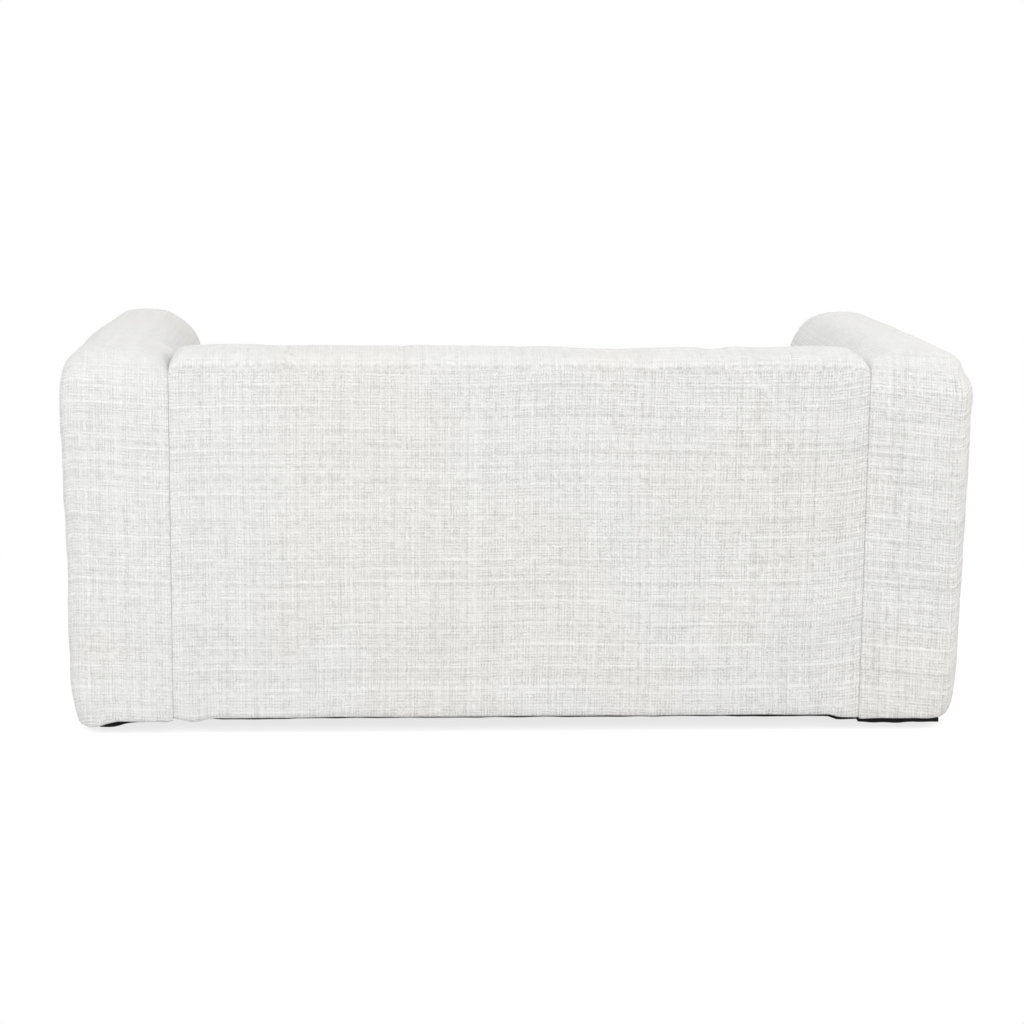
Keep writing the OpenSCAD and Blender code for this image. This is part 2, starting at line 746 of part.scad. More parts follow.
module arm_bolts() {
    head_x = base_x - rail_t - washer_t;
    color(steel_colour) for (side = [-1, 1]) on_side(side) arm_bolt_places() {
        translate([head_x, 0, 0]) rotate([0, 90, 0])
            cylinder(h = frame_x0 + panel_t - fit - head_x, r = bolt_r, $fn = round_fn);
        translate([head_x - bolt_head_h, 0, 0]) rotate([0, 90, 0]) hex(bolt_head_r, bolt_head_h);
    }
}

module arm_bolt_washers() {
    color(steel_colour) for (side = [-1, 1]) on_side(side) arm_bolt_places()
        translate([base_x - rail_t - washer_t, 0, 0]) rotate([0, 90, 0]) difference() {
            cylinder(h = washer_t, r = washer_r, $fn = round_fn);
            translate([0, 0, -cut_over])
                cylinder(h = washer_t + 2 * cut_over, r = bolt_r + thread_fit, $fn = round_fn);
        }
}

module arm_tee_nuts() {
    color(steel_colour) for (side = [-1, 1]) on_side(side) arm_bolt_places()
        translate([frame_x0, 0, 0]) rotate([0, 90, 0]) difference() {
            union() {
                translate([0, 0, -tee_l]) cylinder(h = tee_l + tee_flange_t, r = tee_r,
                    $fn = round_fn);
                cylinder(h = tee_flange_t, r = tee_flange_r, $fn = round_fn);
            }
            translate([0, 0, -tee_l - cut_over])
                cylinder(h = tee_l + tee_flange_t + 2 * cut_over, r = bolt_r + thread_fit,
                    $fn = round_fn);
        }
}

// Glides and their screws
function glide_places() = concat(
    [for (side = [-1, 1], end = [-1, 1]) [side * arm_mid_x, end * arm_glide_y, glide_h]],
    [[0, front_glide_y, base_hem_z - lining_t], [0, rear_glide_y, base_hem_z - lining_t]]);

module screw_hole(place, z) {
    translate([place[0], place[1], z - cut_over])
        cylinder(h = screw_hold + screw_head_h + 2 * cut_over, r = screw_r + thread_fit,
            $fn = round_fn);
}

module glides() {
    color(black_colour) for (p = glide_places()) translate([p[0], p[1], 0])
        rotate_extrude($fn = round_fn)
            polygon([[screw_head_r + fit, 0], [glide_d / 2 - glide_sole, 0],
                [glide_d / 2, glide_sole], [glide_d / 2, p[2]], [screw_r + thread_fit, p[2]],
                [screw_r + thread_fit, p[2] / 2], [screw_head_r + fit, p[2] / 2]]);
}

module glide_screws() {
    color(steel_colour) for (p = glide_places()) {
        top = p[2] + lining_t + cover_t + screw_hold;
        translate([p[0], p[1], p[2] / 2 - screw_head_h]) {
            cylinder(h = screw_head_h, r = screw_head_r, $fn = round_fn);
            cylinder(h = top - p[2] / 2 + screw_head_h, r = screw_r, $fn = round_fn);
        }
    }
}

// Black lining under the seat and under each arm
module lining_centre() {
    color(black_colour) difference() {
        block([lining_inset - back_x, front_y + lining_inset, base_hem_z - lining_t],
            [back_x - lining_inset, half_d - lining_inset, base_hem_z]);
        screw_hole([0, front_glide_y], base_hem_z - lining_t);
        screw_hole([0, rear_glide_y], base_hem_z - lining_t);
    }
}

module lining_arm(side) {
    r = arm_edge_r - lining_inset;
    color(black_colour) on_side(side) difference() {
        translate([0, 0, arm_hem_z - lining_t]) linear_extrude(lining_t)
            rounded_square([arm_x + lining_inset, lining_inset - half_d],
                [half_w - arm_splay - arm_tuck - lining_inset, half_d - lining_inset],
                [r, r, r, r]);
        for (end = [-1, 1])
            screw_hole([arm_mid_x, end * arm_glide_y], arm_hem_z - lining_t);
    }
}

// Arm frame
module arm_ribs(side) {
    pitch = (frame_y1 - frame_y0 - board_t) / (rib_count - 1);
    color(wood_colour) on_side(side) for (k = [0 : rib_count - 1])
        block([frame_x0 + panel_t, frame_y0 + k * pitch, frame_z0 + board_t],
            [frame_x1 - panel_t, frame_y0 + k * pitch + board_t, frame_z1 - board_t]);
}

module arm_top_board(side) {
    color(wood_colour) on_side(side) block([frame_x0 + panel_t, frame_y0, frame_z1 - board_t],
        [frame_x1 - panel_t, frame_y1, frame_z1]);
}

module arm_bottom_board(side) {
    color(wood_colour) on_side(side) difference() {
        block([frame_x0 + panel_t, frame_y0, frame_z0],
            [frame_x1 - panel_t, frame_y1, frame_z0 + board_t]);
        for (end = [-1, 1]) screw_hole([arm_mid_x, end * arm_glide_y], frame_z0);
    }
}

module arm_inner_panel(side) {
    color(wood_colour) on_side(side) difference() {
        block([frame_x0, frame_y0, frame_z0], [frame_x0 + panel_t, frame_y1, frame_z1]);
        arm_bolt_places() translate([frame_x0 - cut_over, 0, 0]) rotate([0, 90, 0])
            cylinder(h = panel_t + 2 * cut_over, r = tee_flange_r + fit, $fn = round_fn);
    }
}

module arm_outer_panel(side) {
    color(wood_colour) on_side(side) block([frame_x1 - panel_t, frame_y0, frame_z0],
        [frame_x1, frame_y1, frame_z1]);
}

module arm_bolt_board(side) {
    color(wood_colour) on_side(side) difference() {
        arm_bolt_board_space(0);
        arm_bolt_places() {
            bolt_hole_x(arm_x, frame_x0);
            translate([frame_x0 - tee_l - fit, 0, 0]) rotate([0, 90, 0])
                cylinder(h = tee_l + cut_over, r = tee_r + thread_fit, $fn = round_fn);
        }
    }
}

module arm_bolt_board_space(room) {
    along = bolt_margin * 2 + room * fit;
    high = bolt_row_pitch / 2 + bolt_margin + room * fit;
    block([arm_x + cover_t + fit - room * cut_over, bolt_ys[0] - along, bolt_z - high],
        [frame_x0 + room * cut_over, bolt_ys[1] + along, bolt_z + high]);
}

// Padding round an arm frame, hollow where the frame and its bolt board lie
module arm_foam(side) {
    rings = arm_rings(cover_t + fit, frame_z0 + fit);
    crown = [half_w - arm_w / 2 + arm_lean, 0, sofa_h - cover_t - fit];
    foot = [half_w - arm_w / 2, 0, frame_z0 + fit];
    color(foam_colour) on_side(side) difference() {
        skin(rings, foot, crown);
        block([frame_x0 - fit, frame_y0 - fit, frame_z0 - cut_over],
            [frame_x1 + fit, frame_y1 + fit, frame_z1 + fit]);
        arm_bolt_board_space(1);
    }
}

// Fabric of an arm: down its inside, round the rim under the frame and up its outside
module arm_cover(side) {
    inside = arm_rings(cover_t, frame_z0);
    outside = arm_rings(0, arm_hem_z);
    rim_x1 = half_w - arm_splay - arm_tuck - cover_rim;
    rim = [for (z = [frame_z0, arm_hem_z]) arm_ring(arm_x + cover_rim, rim_x1,
        cover_rim - half_d, half_d - cover_rim, arm_seam_r / 2, arm_seam_r / 2, z)];
    mid_x = half_w - arm_w / 2 + arm_lean;
    color(fabric_colour) on_side(side) difference() {
        skin(concat(reversed(inside), rim, outside), [mid_x, 0, sofa_h - cover_t],
            [mid_x, 0, sofa_h]);
        arm_bolt_places() bolt_hole_x(arm_x, arm_x + cover_t);
    }
}

// Seat cushions
module cushion_core(side) {
    color(foam_colour) on_side(side) cushion_solid(cover_t + fit);
}

module cushion_cover(side) {
    color(fabric_colour) on_side(side) difference() {
        cushion_solid(0);
        cushion_solid(cover_t);
        translate([0, -cover_t - fit / 2, 0]) zip_box(fit, cover_t + fit);
    }
}

// Space of the zip chain, grown by a clearance along and up, with its own depth
module zip_box(room, depth) {
    block([cushion_mid.x - zip_l / 2 - room, cushion_y1, zip_z - zip_h / 2 - room],
        [cushion_mid.x + zip_l / 2 + room, cushion_y1 + depth, zip_z + zip_h / 2 + room]);
}

module zip_chain(side) {
    color(black_colour) on_side(side) translate([0, -cover_t, 0]) zip_box(0, cover_t);
}

// Slider that laps the chain from outside, parked at the closed end: tapered plate, bridge and pull
module zip_slider(side) {
    x = cushion_mid.x + zip_l / 2 - zip_stop;
    y = cushion_y1 + fit + slider_t;
    color(steel_colour) on_side(side) union() {
        translate([x, y, zip_z]) rotate([90, 0, 0]) linear_extrude(slider_t)
            polygon([[0, -slider_h / 2], [0, slider_h / 2], [-slider_l / 2, slider_h / 2],
                [-slider_l, slider_h / 3], [-slider_l, -slider_h / 3],
                [-slider_l / 2, -slider_h / 2]]);
        translate([x - slider_l / 2, y + pull_t / 2, zip_z]) rotate([90, 0, 0])
            linear_extrude(pull_t) difference() {
                union() {
                    for (drop = [0, pull_l - pull_w])
                        translate([0, -drop]) circle(r = pull_w / 2, $fn = wire_fn);
                    translate([-pull_w / 2, pull_w - pull_l]) square([pull_w, pull_l - pull_w]);
                }
                translate([0, pull_w - pull_l]) circle(r = pull_w / 4, $fn = wire_fn);
            }
        block([x - slider_l / 2 - pull_w / 4, y - slider_t / 2, zip_z - slider_h / 4],
            [x - slider_l / 2 + pull_w / 4, y + pull_t, zip_z + slider_h / 2 - slider_t]);
    }
}

seat_front_rail();
seat_rear_rail();
seat_side_rail(1);  // seat_side_rail_left
seat_side_rail(-1);  // seat_side_rail_right
seat_centre_rail();
corner_blocks();
seat_springs();
spring_clips();
spring_tie_wires();
spring_felt();
deck_foam();
deck_cloth();
front_border_pad();
front_border_cover();
back_top_rail();
back_lumbar_rail();
back_foot_rail();
back_post(1);  // back_post_left
back_post(-1);  // back_post_right
back_stiles();
back_webbing();
back_foam();
back_top_roll();
channel_panel();
rear_batting();
rear_cover();
back_bolts();
arm_bolts();
arm_bolt_washers();
arm_tee_nuts();
glides();
glide_screws();
lining_centre();
lining_arm(1);  // lining_left
lining_arm(-1);  // lining_right
arm_ribs(1);  // arm_ribs_left
arm_ribs(-1);  // arm_ribs_right
arm_top_board(1);  // arm_top_board_left
arm_top_board(-1);  // arm_top_board_right
arm_bottom_board(1);  // arm_bottom_board_left
arm_bottom_board(-1);  // arm_bottom_board_right
arm_inner_panel(1);  // arm_inner_panel_left
arm_inner_panel(-1);  // arm_inner_panel_right
arm_outer_panel(1);  // arm_outer_panel_left
arm_outer_panel(-1);  // arm_outer_panel_right
arm_bolt_board(1);  // arm_bolt_board_left
arm_bolt_board(-1);  // arm_bolt_board_right
arm_foam(1);  // arm_foam_left
arm_foam(-1);  // arm_foam_right
arm_cover(1);  // arm_cover_left
arm_cover(-1);  // arm_cover_right
cushion_core(1);  // cushion_core_left
cushion_core(-1);  // cushion_core_right
cushion_cover(1);  // cushion_cover_left
cushion_cover(-1);  // cushion_cover_right
zip_chain(1);  // zip_chain_left
zip_chain(-1);  // zip_chain_right
zip_slider(1);  // zip_slider_left
zip_slider(-1);  // zip_slider_right
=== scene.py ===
"""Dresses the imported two-seat tuxedo sofa and sets it in a plain studio."""

import json
import math

import bmesh
import bpy
import numpy as np
from mathutils import Matrix, Vector


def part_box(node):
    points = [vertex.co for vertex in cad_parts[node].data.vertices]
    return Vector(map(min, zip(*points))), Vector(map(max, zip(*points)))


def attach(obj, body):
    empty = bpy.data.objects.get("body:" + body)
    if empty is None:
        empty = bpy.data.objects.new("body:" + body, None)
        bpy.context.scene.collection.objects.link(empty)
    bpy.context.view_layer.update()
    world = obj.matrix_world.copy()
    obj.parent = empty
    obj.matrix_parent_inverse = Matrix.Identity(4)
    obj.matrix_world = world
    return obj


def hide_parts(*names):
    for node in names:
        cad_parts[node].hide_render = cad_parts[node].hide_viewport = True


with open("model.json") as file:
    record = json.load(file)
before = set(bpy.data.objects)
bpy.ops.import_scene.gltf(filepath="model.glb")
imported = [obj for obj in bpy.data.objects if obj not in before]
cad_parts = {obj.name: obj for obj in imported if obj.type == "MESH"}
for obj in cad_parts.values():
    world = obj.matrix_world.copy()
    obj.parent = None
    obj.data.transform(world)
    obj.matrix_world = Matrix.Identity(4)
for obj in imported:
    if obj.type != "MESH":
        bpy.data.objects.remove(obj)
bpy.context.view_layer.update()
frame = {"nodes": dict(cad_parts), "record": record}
nodes = frame["nodes"]
scene = bpy.context.scene

# The camera first: a long lens behind the sofa, a little to the sitter's left of the middle
CAM_AT = Vector((0.2635, 4.6388, 1.1329))
CAM_YAW, CAM_PITCH, CAM_ROLL = math.radians(3.377), math.radians(9.79), math.radians(0.544)
FOCAL_PX, IMAGE_PX, SENSOR_MM = 2361.4, 1024, 36


def add_camera():
    forward = Vector((-math.sin(CAM_YAW) * math.cos(CAM_PITCH),
                      -math.cos(CAM_YAW) * math.cos(CAM_PITCH), -math.sin(CAM_PITCH)))
    right = Vector((-math.cos(CAM_YAW), math.sin(CAM_YAW), 0))
    up = right.cross(forward)
    right, up = (math.cos(CAM_ROLL) * right + math.sin(CAM_ROLL) * up,
                 -math.sin(CAM_ROLL) * right + math.cos(CAM_ROLL) * up)
    data = bpy.data.cameras.new("camera")
    data.sensor_width = SENSOR_MM
    data.lens = FOCAL_PX / IMAGE_PX * SENSOR_MM
    data.clip_end = 60
    cam = bpy.data.objects.new("camera", data)
    scene.collection.objects.link(cam)
    cam.matrix_world = Matrix((
        (right.x, up.x, -forward.x, CAM_AT.x), (right.y, up.y, -forward.y, CAM_AT.y),
        (right.z, up.z, -forward.z, CAM_AT.z), (0, 0, 0, 1)))
    scene.camera = cam


add_camera()


# Materials
class Nodes:
    """Short names for building a node tree."""

    def __init__(self, name):
        self.mat = bpy.data.materials.new(name)
        self.mat.use_nodes = True
        self.tree = self.mat.node_tree
        self.shader = self.tree.nodes["Principled BSDF"]

    def new(self, kind, **settings):
        node = self.tree.nodes.new(kind)
        for key, value in settings.items():
            setattr(node, key, value)
        return node

    def link(self, value, socket):
        if isinstance(value, (int, float, tuple, list)):
            socket.default_value = value
        else:
            self.tree.links.new(value, socket)

    def math(self, operation, *values, clamp=False):
        node = self.new("ShaderNodeMath", operation=operation, use_clamp=clamp)
        for k, value in enumerate(values):
            self.link(value, node.inputs[k])
        return node.outputs[0]

    def mix(self, factor, a, b):
        node = self.new("ShaderNodeMix", data_type="RGBA")
        self.link(factor, node.inputs[0])
        self.link(a, node.inputs[6])
        self.link(b, node.inputs[7])
        return node.outputs[2]

    def noise(self, vector, scale, detail=2.0, rough=0.5):
        node = self.new("ShaderNodeTexNoise")
        if vector is not None:
            self.link(vector, node.inputs["Vector"])
        node.inputs["Scale"].default_value = scale
        node.inputs["Detail"].default_value = detail
        node.inputs["Roughness"].default_value = rough
        return node.outputs["Fac"]

    def noise_1d(self, value, scale):
        node = self.new("ShaderNodeTexNoise", noise_dimensions="1D")
        self.link(value, node.inputs["W"])
        node.inputs["Scale"].default_value = scale
        node.inputs["Detail"].default_value = 1.0
        return node.outputs["Fac"]

    def vector(self, *values):
        node = self.new("ShaderNodeCombineXYZ")
        for k, value in enumerate(values):
            self.link(value, node.inputs[k])
        return node.outputs[0]

    def split(self, vector):
        node = self.new("ShaderNodeSeparateXYZ")
        self.link(vector, node.inputs[0])
        return node.outputs

    def random(self, value, seed=0.0):
        node = self.new("ShaderNodeTexWhiteNoise", noise_dimensions="2D")
        self.link(self.vector(value, seed, 0.0), node.inputs["Vector"])
        return node.outputs["Value"]

    def place(self):
        return self.new("ShaderNodeTexCoord").outputs["Object"]

    def attribute(self, name):
        return self.new("ShaderNodeAttribute", attribute_name=name).outputs["Vector"]

    def ramp(self, value, low, high, out_low=0.0, out_high=1.0):
        node = self.new("ShaderNodeMapRange", interpolation_type="SMOOTHSTEP")
        for k, v in enumerate((value, low, high, out_low, out_high)):
            self.link(v, node.inputs[k])
        return node.outputs[0]

    def bump(self, height, strength, distance):
        node = self.new("ShaderNodeBump")
        node.inputs["Strength"].default_value = strength
        node.inputs["Distance"].default_value = distance
        self.link(height, node.inputs["Height"])
        self.link(node.outputs[0], self.shader.inputs["Normal"])


YARN_PITCH = (0.0053, 0.0053, 0.0057)
# How far a yarn wanders from its place over some 250 mm, over some 14 mm, and from its neighbours
WANDER_WIDE, WANDER_SMALL, WANDER_YARN = 0.007, 0.0032, 0.0070
# Changes per metre along a yarn: of its thick stretches, its flecks, and where it sinks among the others
SLUBS, FLECKS, SINKS = 30.0, 110.0, 60.0
# PAIR_TONE, KNOT_TONE, MEAN_RIDGE and MEAN_KNOT also set the painted shade and painted highlight of the
# weave
SLUB_TONE, FLECK_TONE, LUCK_TONE, PAIR_TONE, KNOT_TONE, FUZZ_TONE = 0.30, 0.90, 0.26, 0.85, 0.7, 7.0
MEAN_RIDGE, MEAN_KNOT, MEAN_TONE, CONTRAST = 0.64, 0.40, 0.66, 0.28
HEAVY_EVERY = 7.0


def tweed():
    """Off-white tweed: uneven yarns both ways, read from where the cloth was cut."""
    m = Nodes("tweed_offwhite")
    cloth, seen = m.attribute("weave"), m.attribute("weave_seen")
    axis, shown = m.split(cloth), m.split(seen)
    place = m.place()

    def drift(scale):
        node = m.new("ShaderNodeTexNoise")
        m.link(cloth, node.inputs["Vector"])
        node.inputs["Scale"].default_value = scale
        node.inputs["Detail"].default_value = 1.0
        return m.split(node.outputs["Color"])

    def centred(value, middle=0.5):
        return m.math("SUBTRACT", value, middle)

    def along_yarn(k, per_metre, scale=1.0, number=None, step=0.0):
        """Noise in the cloth, drawn anew for each yarn across axis k where its number is given."""
        at = [m.math("MULTIPLY", axis[j], per_metre) for j in range(3)]
        if number is not None:
            at[k] = m.math("MULTIPLY", number, step)
        return m.noise(m.vector(*at), scale, 1.0, 0.5)

    wide, small = drift(4.0), drift(70.0)
    tone, height, knots = 0.0, 0.0, 1.0
    for k, pitch in enumerate(YARN_PITCH):
        uneven = m.noise_1d(m.math("MULTIPLY", axis[k], 170.0), 1.0)
        moved = m.math("MULTIPLY_ADD", centred(wide[k]), WANDER_WIDE, axis[k])
        moved = m.math("MULTIPLY_ADD", centred(small[k]), WANDER_SMALL, moved)
        moved = m.math("MULTIPLY_ADD", centred(uneven), WANDER_YARN, moved)
        cell = m.math("DIVIDE", moved, pitch)
        number = m.math("FLOOR", cell)
        ridge = m.math("SINE", m.math("MULTIPLY", m.math("FRACT", cell), math.pi))
        # Each yarn is light or dark for a stretch, and sinks among the others in between
        slub = centred(along_yarn(k, SLUBS, number=number, step=7.31))
        fleck = centred(along_yarn(k, FLECKS, number=number, step=3.77))
        shows = m.ramp(along_yarn(k, SINKS, 1.0 + 0.13 * k), 0.40, 0.60, 0.12, 1.45)
        luck = centred(m.random(number, 3.1 * k + 1))
        # The ridge darkens the gaps between the yarns and lightens their crests: painted shade and painted
        # highlight
        part = m.math("MULTIPLY", centred(ridge, MEAN_RIDGE), m.math("MULTIPLY", shows, 1.3))
        part = m.math("MULTIPLY_ADD", slub, SLUB_TONE, part)
        part = m.math("MULTIPLY_ADD", fleck, FLECK_TONE, part)
        part = m.math("MULTIPLY_ADD", luck, LUCK_TONE, part)
        if k == 2:
            # Every seventh pick is a lighter, heavier yarn with a shadow under it
            place_in = m.math("FRACT", m.math("DIVIDE", number, HEAVY_EVERY))
            heavy = m.math("LESS_THAN", place_in, 0.1)
            under = m.math("GREATER_THAN", place_in, 0.8)
            lit = m.ramp(along_yarn(k, SLUBS, 0.35, number, 7.31), 0.40, 0.56)
            pair = m.math("MULTIPLY", m.math("SUBTRACT", heavy, under), m.math("MULTIPLY", lit, ridge))
            part = m.math("MULTIPLY_ADD", pair, PAIR_TONE, part)
        tone = m.math("ADD", tone, m.math("MULTIPLY", shown[k], part))
        height = m.math("ADD", height, m.math("MULTIPLY", shown[k], m.math("MULTIPLY", ridge, shows)))
        knots = m.math("MULTIPLY", knots, m.math("MULTIPLY_ADD", centred(ridge, 1.0), shown[k], 1.0))
    # Where yarn crests cross the tone is lighter, and darker between them: painted highlight and painted
    # shade
    tone = m.math("MULTIPLY_ADD", centred(knots, MEAN_KNOT), KNOT_TONE, tone)
    fuzz = centred(m.noise(place, 820.0, 1.0, 0.5))
    tone = m.math("MULTIPLY_ADD", fuzz, FUZZ_TONE, tone)
    height = m.math("MULTIPLY_ADD", fuzz, 0.8, height)
    # The weave lies flatter where the cloth is stretched over a top, and stands out more towards -X
    faces_up = m.split(m.new("ShaderNodeNewGeometry").outputs["Normal"])[2]
    strength = m.math("MULTIPLY", m.ramp(faces_up, 0.10, 0.55, 1.0, 0.35),
                      m.ramp(m.split(place)[0], -0.80, 0.80, 1.25, 0.80))
    tone = m.math("MULTIPLY", tone, m.math("MULTIPLY", strength, CONTRAST))
    tone = m.math("ADD", tone, MEAN_TONE, clamp=True)
    # Large soft patches in which the cloth is a little warmer
    patches = m.ramp(m.noise(place, 2.6, 2.0, 0.5), 0.44, 0.70)
    # The pale and dark ends of the tone: real yarn colour, together with the painted shade and painted
    # highlight of the weave
    light = m.mix(patches, (0.885, 0.887, 0.884, 1), (0.885, 0.878, 0.863, 1))
    shade = m.mix(patches, (0.560, 0.560, 0.545, 1), (0.560, 0.545, 0.515, 1))
    m.link(m.mix(tone, shade, light), m.shader.inputs["Base Color"])
    m.shader.inputs["Roughness"].default_value = 0.93
    m.shader.inputs["Specular IOR Level"].default_value = 0.18
    m.shader.inputs["Sheen Weight"].default_value = 0.2
    m.shader.inputs["Sheen Roughness"].default_value = 0.6
    m.bump(height, 0.5, 0.0014)
    return m.mat


def plain_cloth(name, colour, dark, scale, bump, roughness=0.95):
    """Fine even weave or pressed fibre, read from the object's own place."""
    m = Nodes(name)
    place = m.place()
    axis = m.split(place)
    grid = 0.0
    for k in range(3):
        grid = m.math("ADD", grid, m.math("SINE", m.math("MULTIPLY", axis[k], scale)))
    fibre = m.noise(place, scale * 0.35, 4.0, 0.65)
    level = m.math("MULTIPLY_ADD", grid, 0.10, fibre)
    m.link(m.mix(m.ramp(level, 0.25, 0.75), dark, colour), m.shader.inputs["Base Color"])
    m.shader.inputs["Roughness"].default_value = roughness
    m.shader.inputs["Specular IOR Level"].default_value = 0.15
    m.bump(level, 0.4, bump)
    return m.mat


def wood():
    m = Nodes("hardwood")
    place = m.place()
    axis = m.split(place)
    along = m.vector(m.math("MULTIPLY", axis[0], 6.0), m.math("MULTIPLY", axis[1], 9.0),
                     m.math("MULTIPLY", axis[2], 34.0))
    grain = m.noise(along, 5.0, 5.0, 0.6)
    rings = m.math("SINE", m.math("MULTIPLY", grain, 26.0))
    tone = m.math("MULTIPLY_ADD", rings, 0.22, grain)
    m.link(m.mix(m.ramp(tone, 0.2, 0.85), (0.28, 0.16, 0.072, 1), (0.60, 0.42, 0.23, 1)),
           m.shader.inputs["Base Color"])
    m.shader.inputs["Roughness"].default_value = 0.62
    m.bump(tone, 0.25, 0.0006)
    return m.mat


def metal(name, colour, roughness):
    m = Nodes(name)
    place = m.place()
    scratches = m.noise(place, 240.0, 3.0, 0.6)
    m.link(m.ramp(scratches, 0.2, 0.8, roughness - 0.08, roughness + 0.10), m.shader.inputs["Roughness"])
    dull = tuple(c * 0.82 for c in colour[:3]) + (1,)
    m.link(m.mix(m.ramp(m.noise(place, 30.0), 0.3, 0.7), dull, colour), m.shader.inputs["Base Color"])
    m.shader.inputs["Metallic"].default_value = 1.0
    m.bump(scratches, 0.12, 0.0002)
    return m.mat


def plastic():
    m = Nodes("black_plastic")
    place = m.place()
    grain = m.noise(place, 700.0, 2.0, 0.6)
    patches = m.ramp(m.noise(place, 25.0), 0.3, 0.7)
    m.link(m.mix(patches, (0.012, 0.012, 0.013, 1), (0.022, 0.022, 0.023, 1)), m.shader.inputs["Base Color"])
    m.link(m.ramp(grain, 0.3, 0.7, 0.42, 0.58), m.shader.inputs["Roughness"])
    m.bump(grain, 0.15, 0.0002)
    return m.mat


def open_foam():
    m = Nodes("open_cell_foam")
    place = m.place()
    cells = m.new("ShaderNodeTexVoronoi")
    m.link(place, cells.inputs["Vector"])
    cells.inputs["Scale"].default_value = 420.0
    # The cells are darker where they count as deep: painted shade in the pores
    pore_shade = m.ramp(cells.outputs["Distance"], 0.1, 0.6)
    m.link(m.mix(pore_shade, (0.86, 0.78, 0.52, 1), (0.70, 0.60, 0.35, 1)), m.shader.inputs["Base Color"])
    m.shader.inputs["Roughness"].default_value = 0.96
    m.bump(cells.outputs["Distance"], 0.5, 0.0008)
    return m.mat


MATERIALS = {
    "fabric": tweed(),
    "deck_fabric": plain_cloth("deck_cloth_plain", (0.66, 0.64, 0.58, 1), (0.50, 0.48, 0.43, 1),
                               2600.0, 0.0005),
    "lining_black": plain_cloth("spun_lining", (0.018, 0.018, 0.019, 1), (0.006, 0.006, 0.006, 1),
                                1500.0, 0.0006),
    "foam": open_foam(),
    "felt": plain_cloth("pressed_felt", (0.30, 0.28, 0.27, 1), (0.18, 0.17, 0.16, 1), 900.0, 0.0010),
    "webbing": plain_cloth("jute_webbing", (0.46, 0.34, 0.18, 1), (0.26, 0.18, 0.09, 1), 1400.0, 0.0010),
    "wood": wood(),
    "spring_steel": metal("spring_wire", (0.36, 0.37, 0.39, 1), 0.36),
    "zinc": metal("zinc_plate", (0.62, 0.64, 0.67, 1), 0.30),
    "black_plastic": plastic(),
}
for part in frame["record"]["subparts"]:
    mesh = nodes[part["node"]].data
    mesh.materials.clear()
    mesh.materials.append(MATERIALS[part["material_slot"]])


# Mesh helpers
def smooth_step(x, low, high):
    t = np.clip((x - low) / (high - low), 0, 1)
    return t * t * (3 - 2 * t)


def wave_noise(points, scale, seed):
    """Smooth seeded noise of about -1 to 1 from a few crossed waves."""
    gen = np.random.default_rng(seed)
    total = np.zeros(len(points))
    for _ in range(14):
        direction = gen.normal(size=3)
        direction /= np.linalg.norm(direction)
        turns = points @ direction * 2 * np.pi / scale * gen.uniform(0.5, 1.6)
        total += np.sin(turns + gen.uniform(0, 6.3))
    return total / 4.2


def fade(distance, reach):
    """1 at and before 0, dying away beyond it."""
    return np.exp(-np.maximum(distance, 0) / reach)


def path_lengths(path):
    """How far along an open path each of its points lies."""
    return np.concatenate([[0], np.cumsum(np.hypot(*np.diff(np.array(path), axis=0).T))])


def make(name, points, faces, body, slot="fabric", cloth=None, seen=None):
    mesh = bpy.data.meshes.new(name)
    mesh.from_pydata([tuple(p) for p in points], [], [tuple(f) for f in faces])
    if cloth is not None:
        store_cloth(mesh, cloth, seen)
    obj = bpy.data.objects.new(name, mesh)
    scene.collection.objects.link(obj)
    bm = bmesh.new()
    bm.from_mesh(mesh)
    bmesh.ops.remove_doubles(bm, verts=bm.verts, dist=1e-5)
    bmesh.ops.recalc_face_normals(bm, faces=bm.faces)
    bm.to_mesh(mesh)
    bm.free()
    mesh.polygons.foreach_set("use_smooth", [True] * len(mesh.polygons))
    mesh.materials.append(MATERIALS[slot])
    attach(obj, body)
    return obj


def store_cloth(mesh, cloth, seen):
    """Keeps where each point lies in the cut cloth, and which of the yarn directions show there."""
    for name, values in (("weave", cloth), ("weave_seen", seen)):
        layer = mesh.attributes.new(name, "FLOAT_VECTOR", "POINT")
        layer.data.foreach_set("vector", np.asarray(values, np.float32).ravel())


def grid_faces(rows, columns, wrap=False, start=0):
    faces = []
    for i in range(rows - 1):
        for j in range(columns if wrap else columns - 1):
            a = start + i * columns + j
            b = start + i * columns + (j + 1) % columns
            faces.append((a, b, b + columns, a + columns))
    return faces


def capped_rings(rows, columns):
    """Faces round a row of rings, with one face over each end."""
    faces = grid_faces(rows, columns, wrap=True)
    faces.append(tuple(range(columns)))
    faces.append(tuple((rows - 1) * columns + j for j in reversed(range(columns))))
    return faces


def two_layers(rows, columns):
    """Faces of an upper and a lower grid, joined all round their rims."""
    count = rows * columns
    faces = grid_faces(rows, columns) + [tuple(reversed(f)) for f in grid_faces(rows, columns, start=count)]
    rim = ([i * columns for i in range(rows)]
           + [(rows - 1) * columns + j for j in range(1, columns)]
           + [i * columns + columns - 1 for i in range(rows - 2, -1, -1)]
           + list(range(columns - 2, 0, -1)))
    for a, b in zip(rim, rim[1:] + rim[:1]):
        faces.append((a, b, b + count, a + count))
    return faces


def points_of(obj):
    co = np.zeros(len(obj.data.vertices) * 3, np.float32)
    obj.data.vertices.foreach_get("co", co)
    return co.reshape(-1, 3).astype(float)


def normals_of(obj):
    no = np.zeros(len(obj.data.vertices) * 3, np.float32)
    obj.data.vertex_normals.foreach_get("vector", no)
    return no.reshape(-1, 3).astype(float)


def set_points(obj, points):
    obj.data.vertices.foreach_set("co", points.astype(np.float32).ravel())
    obj.data.update()


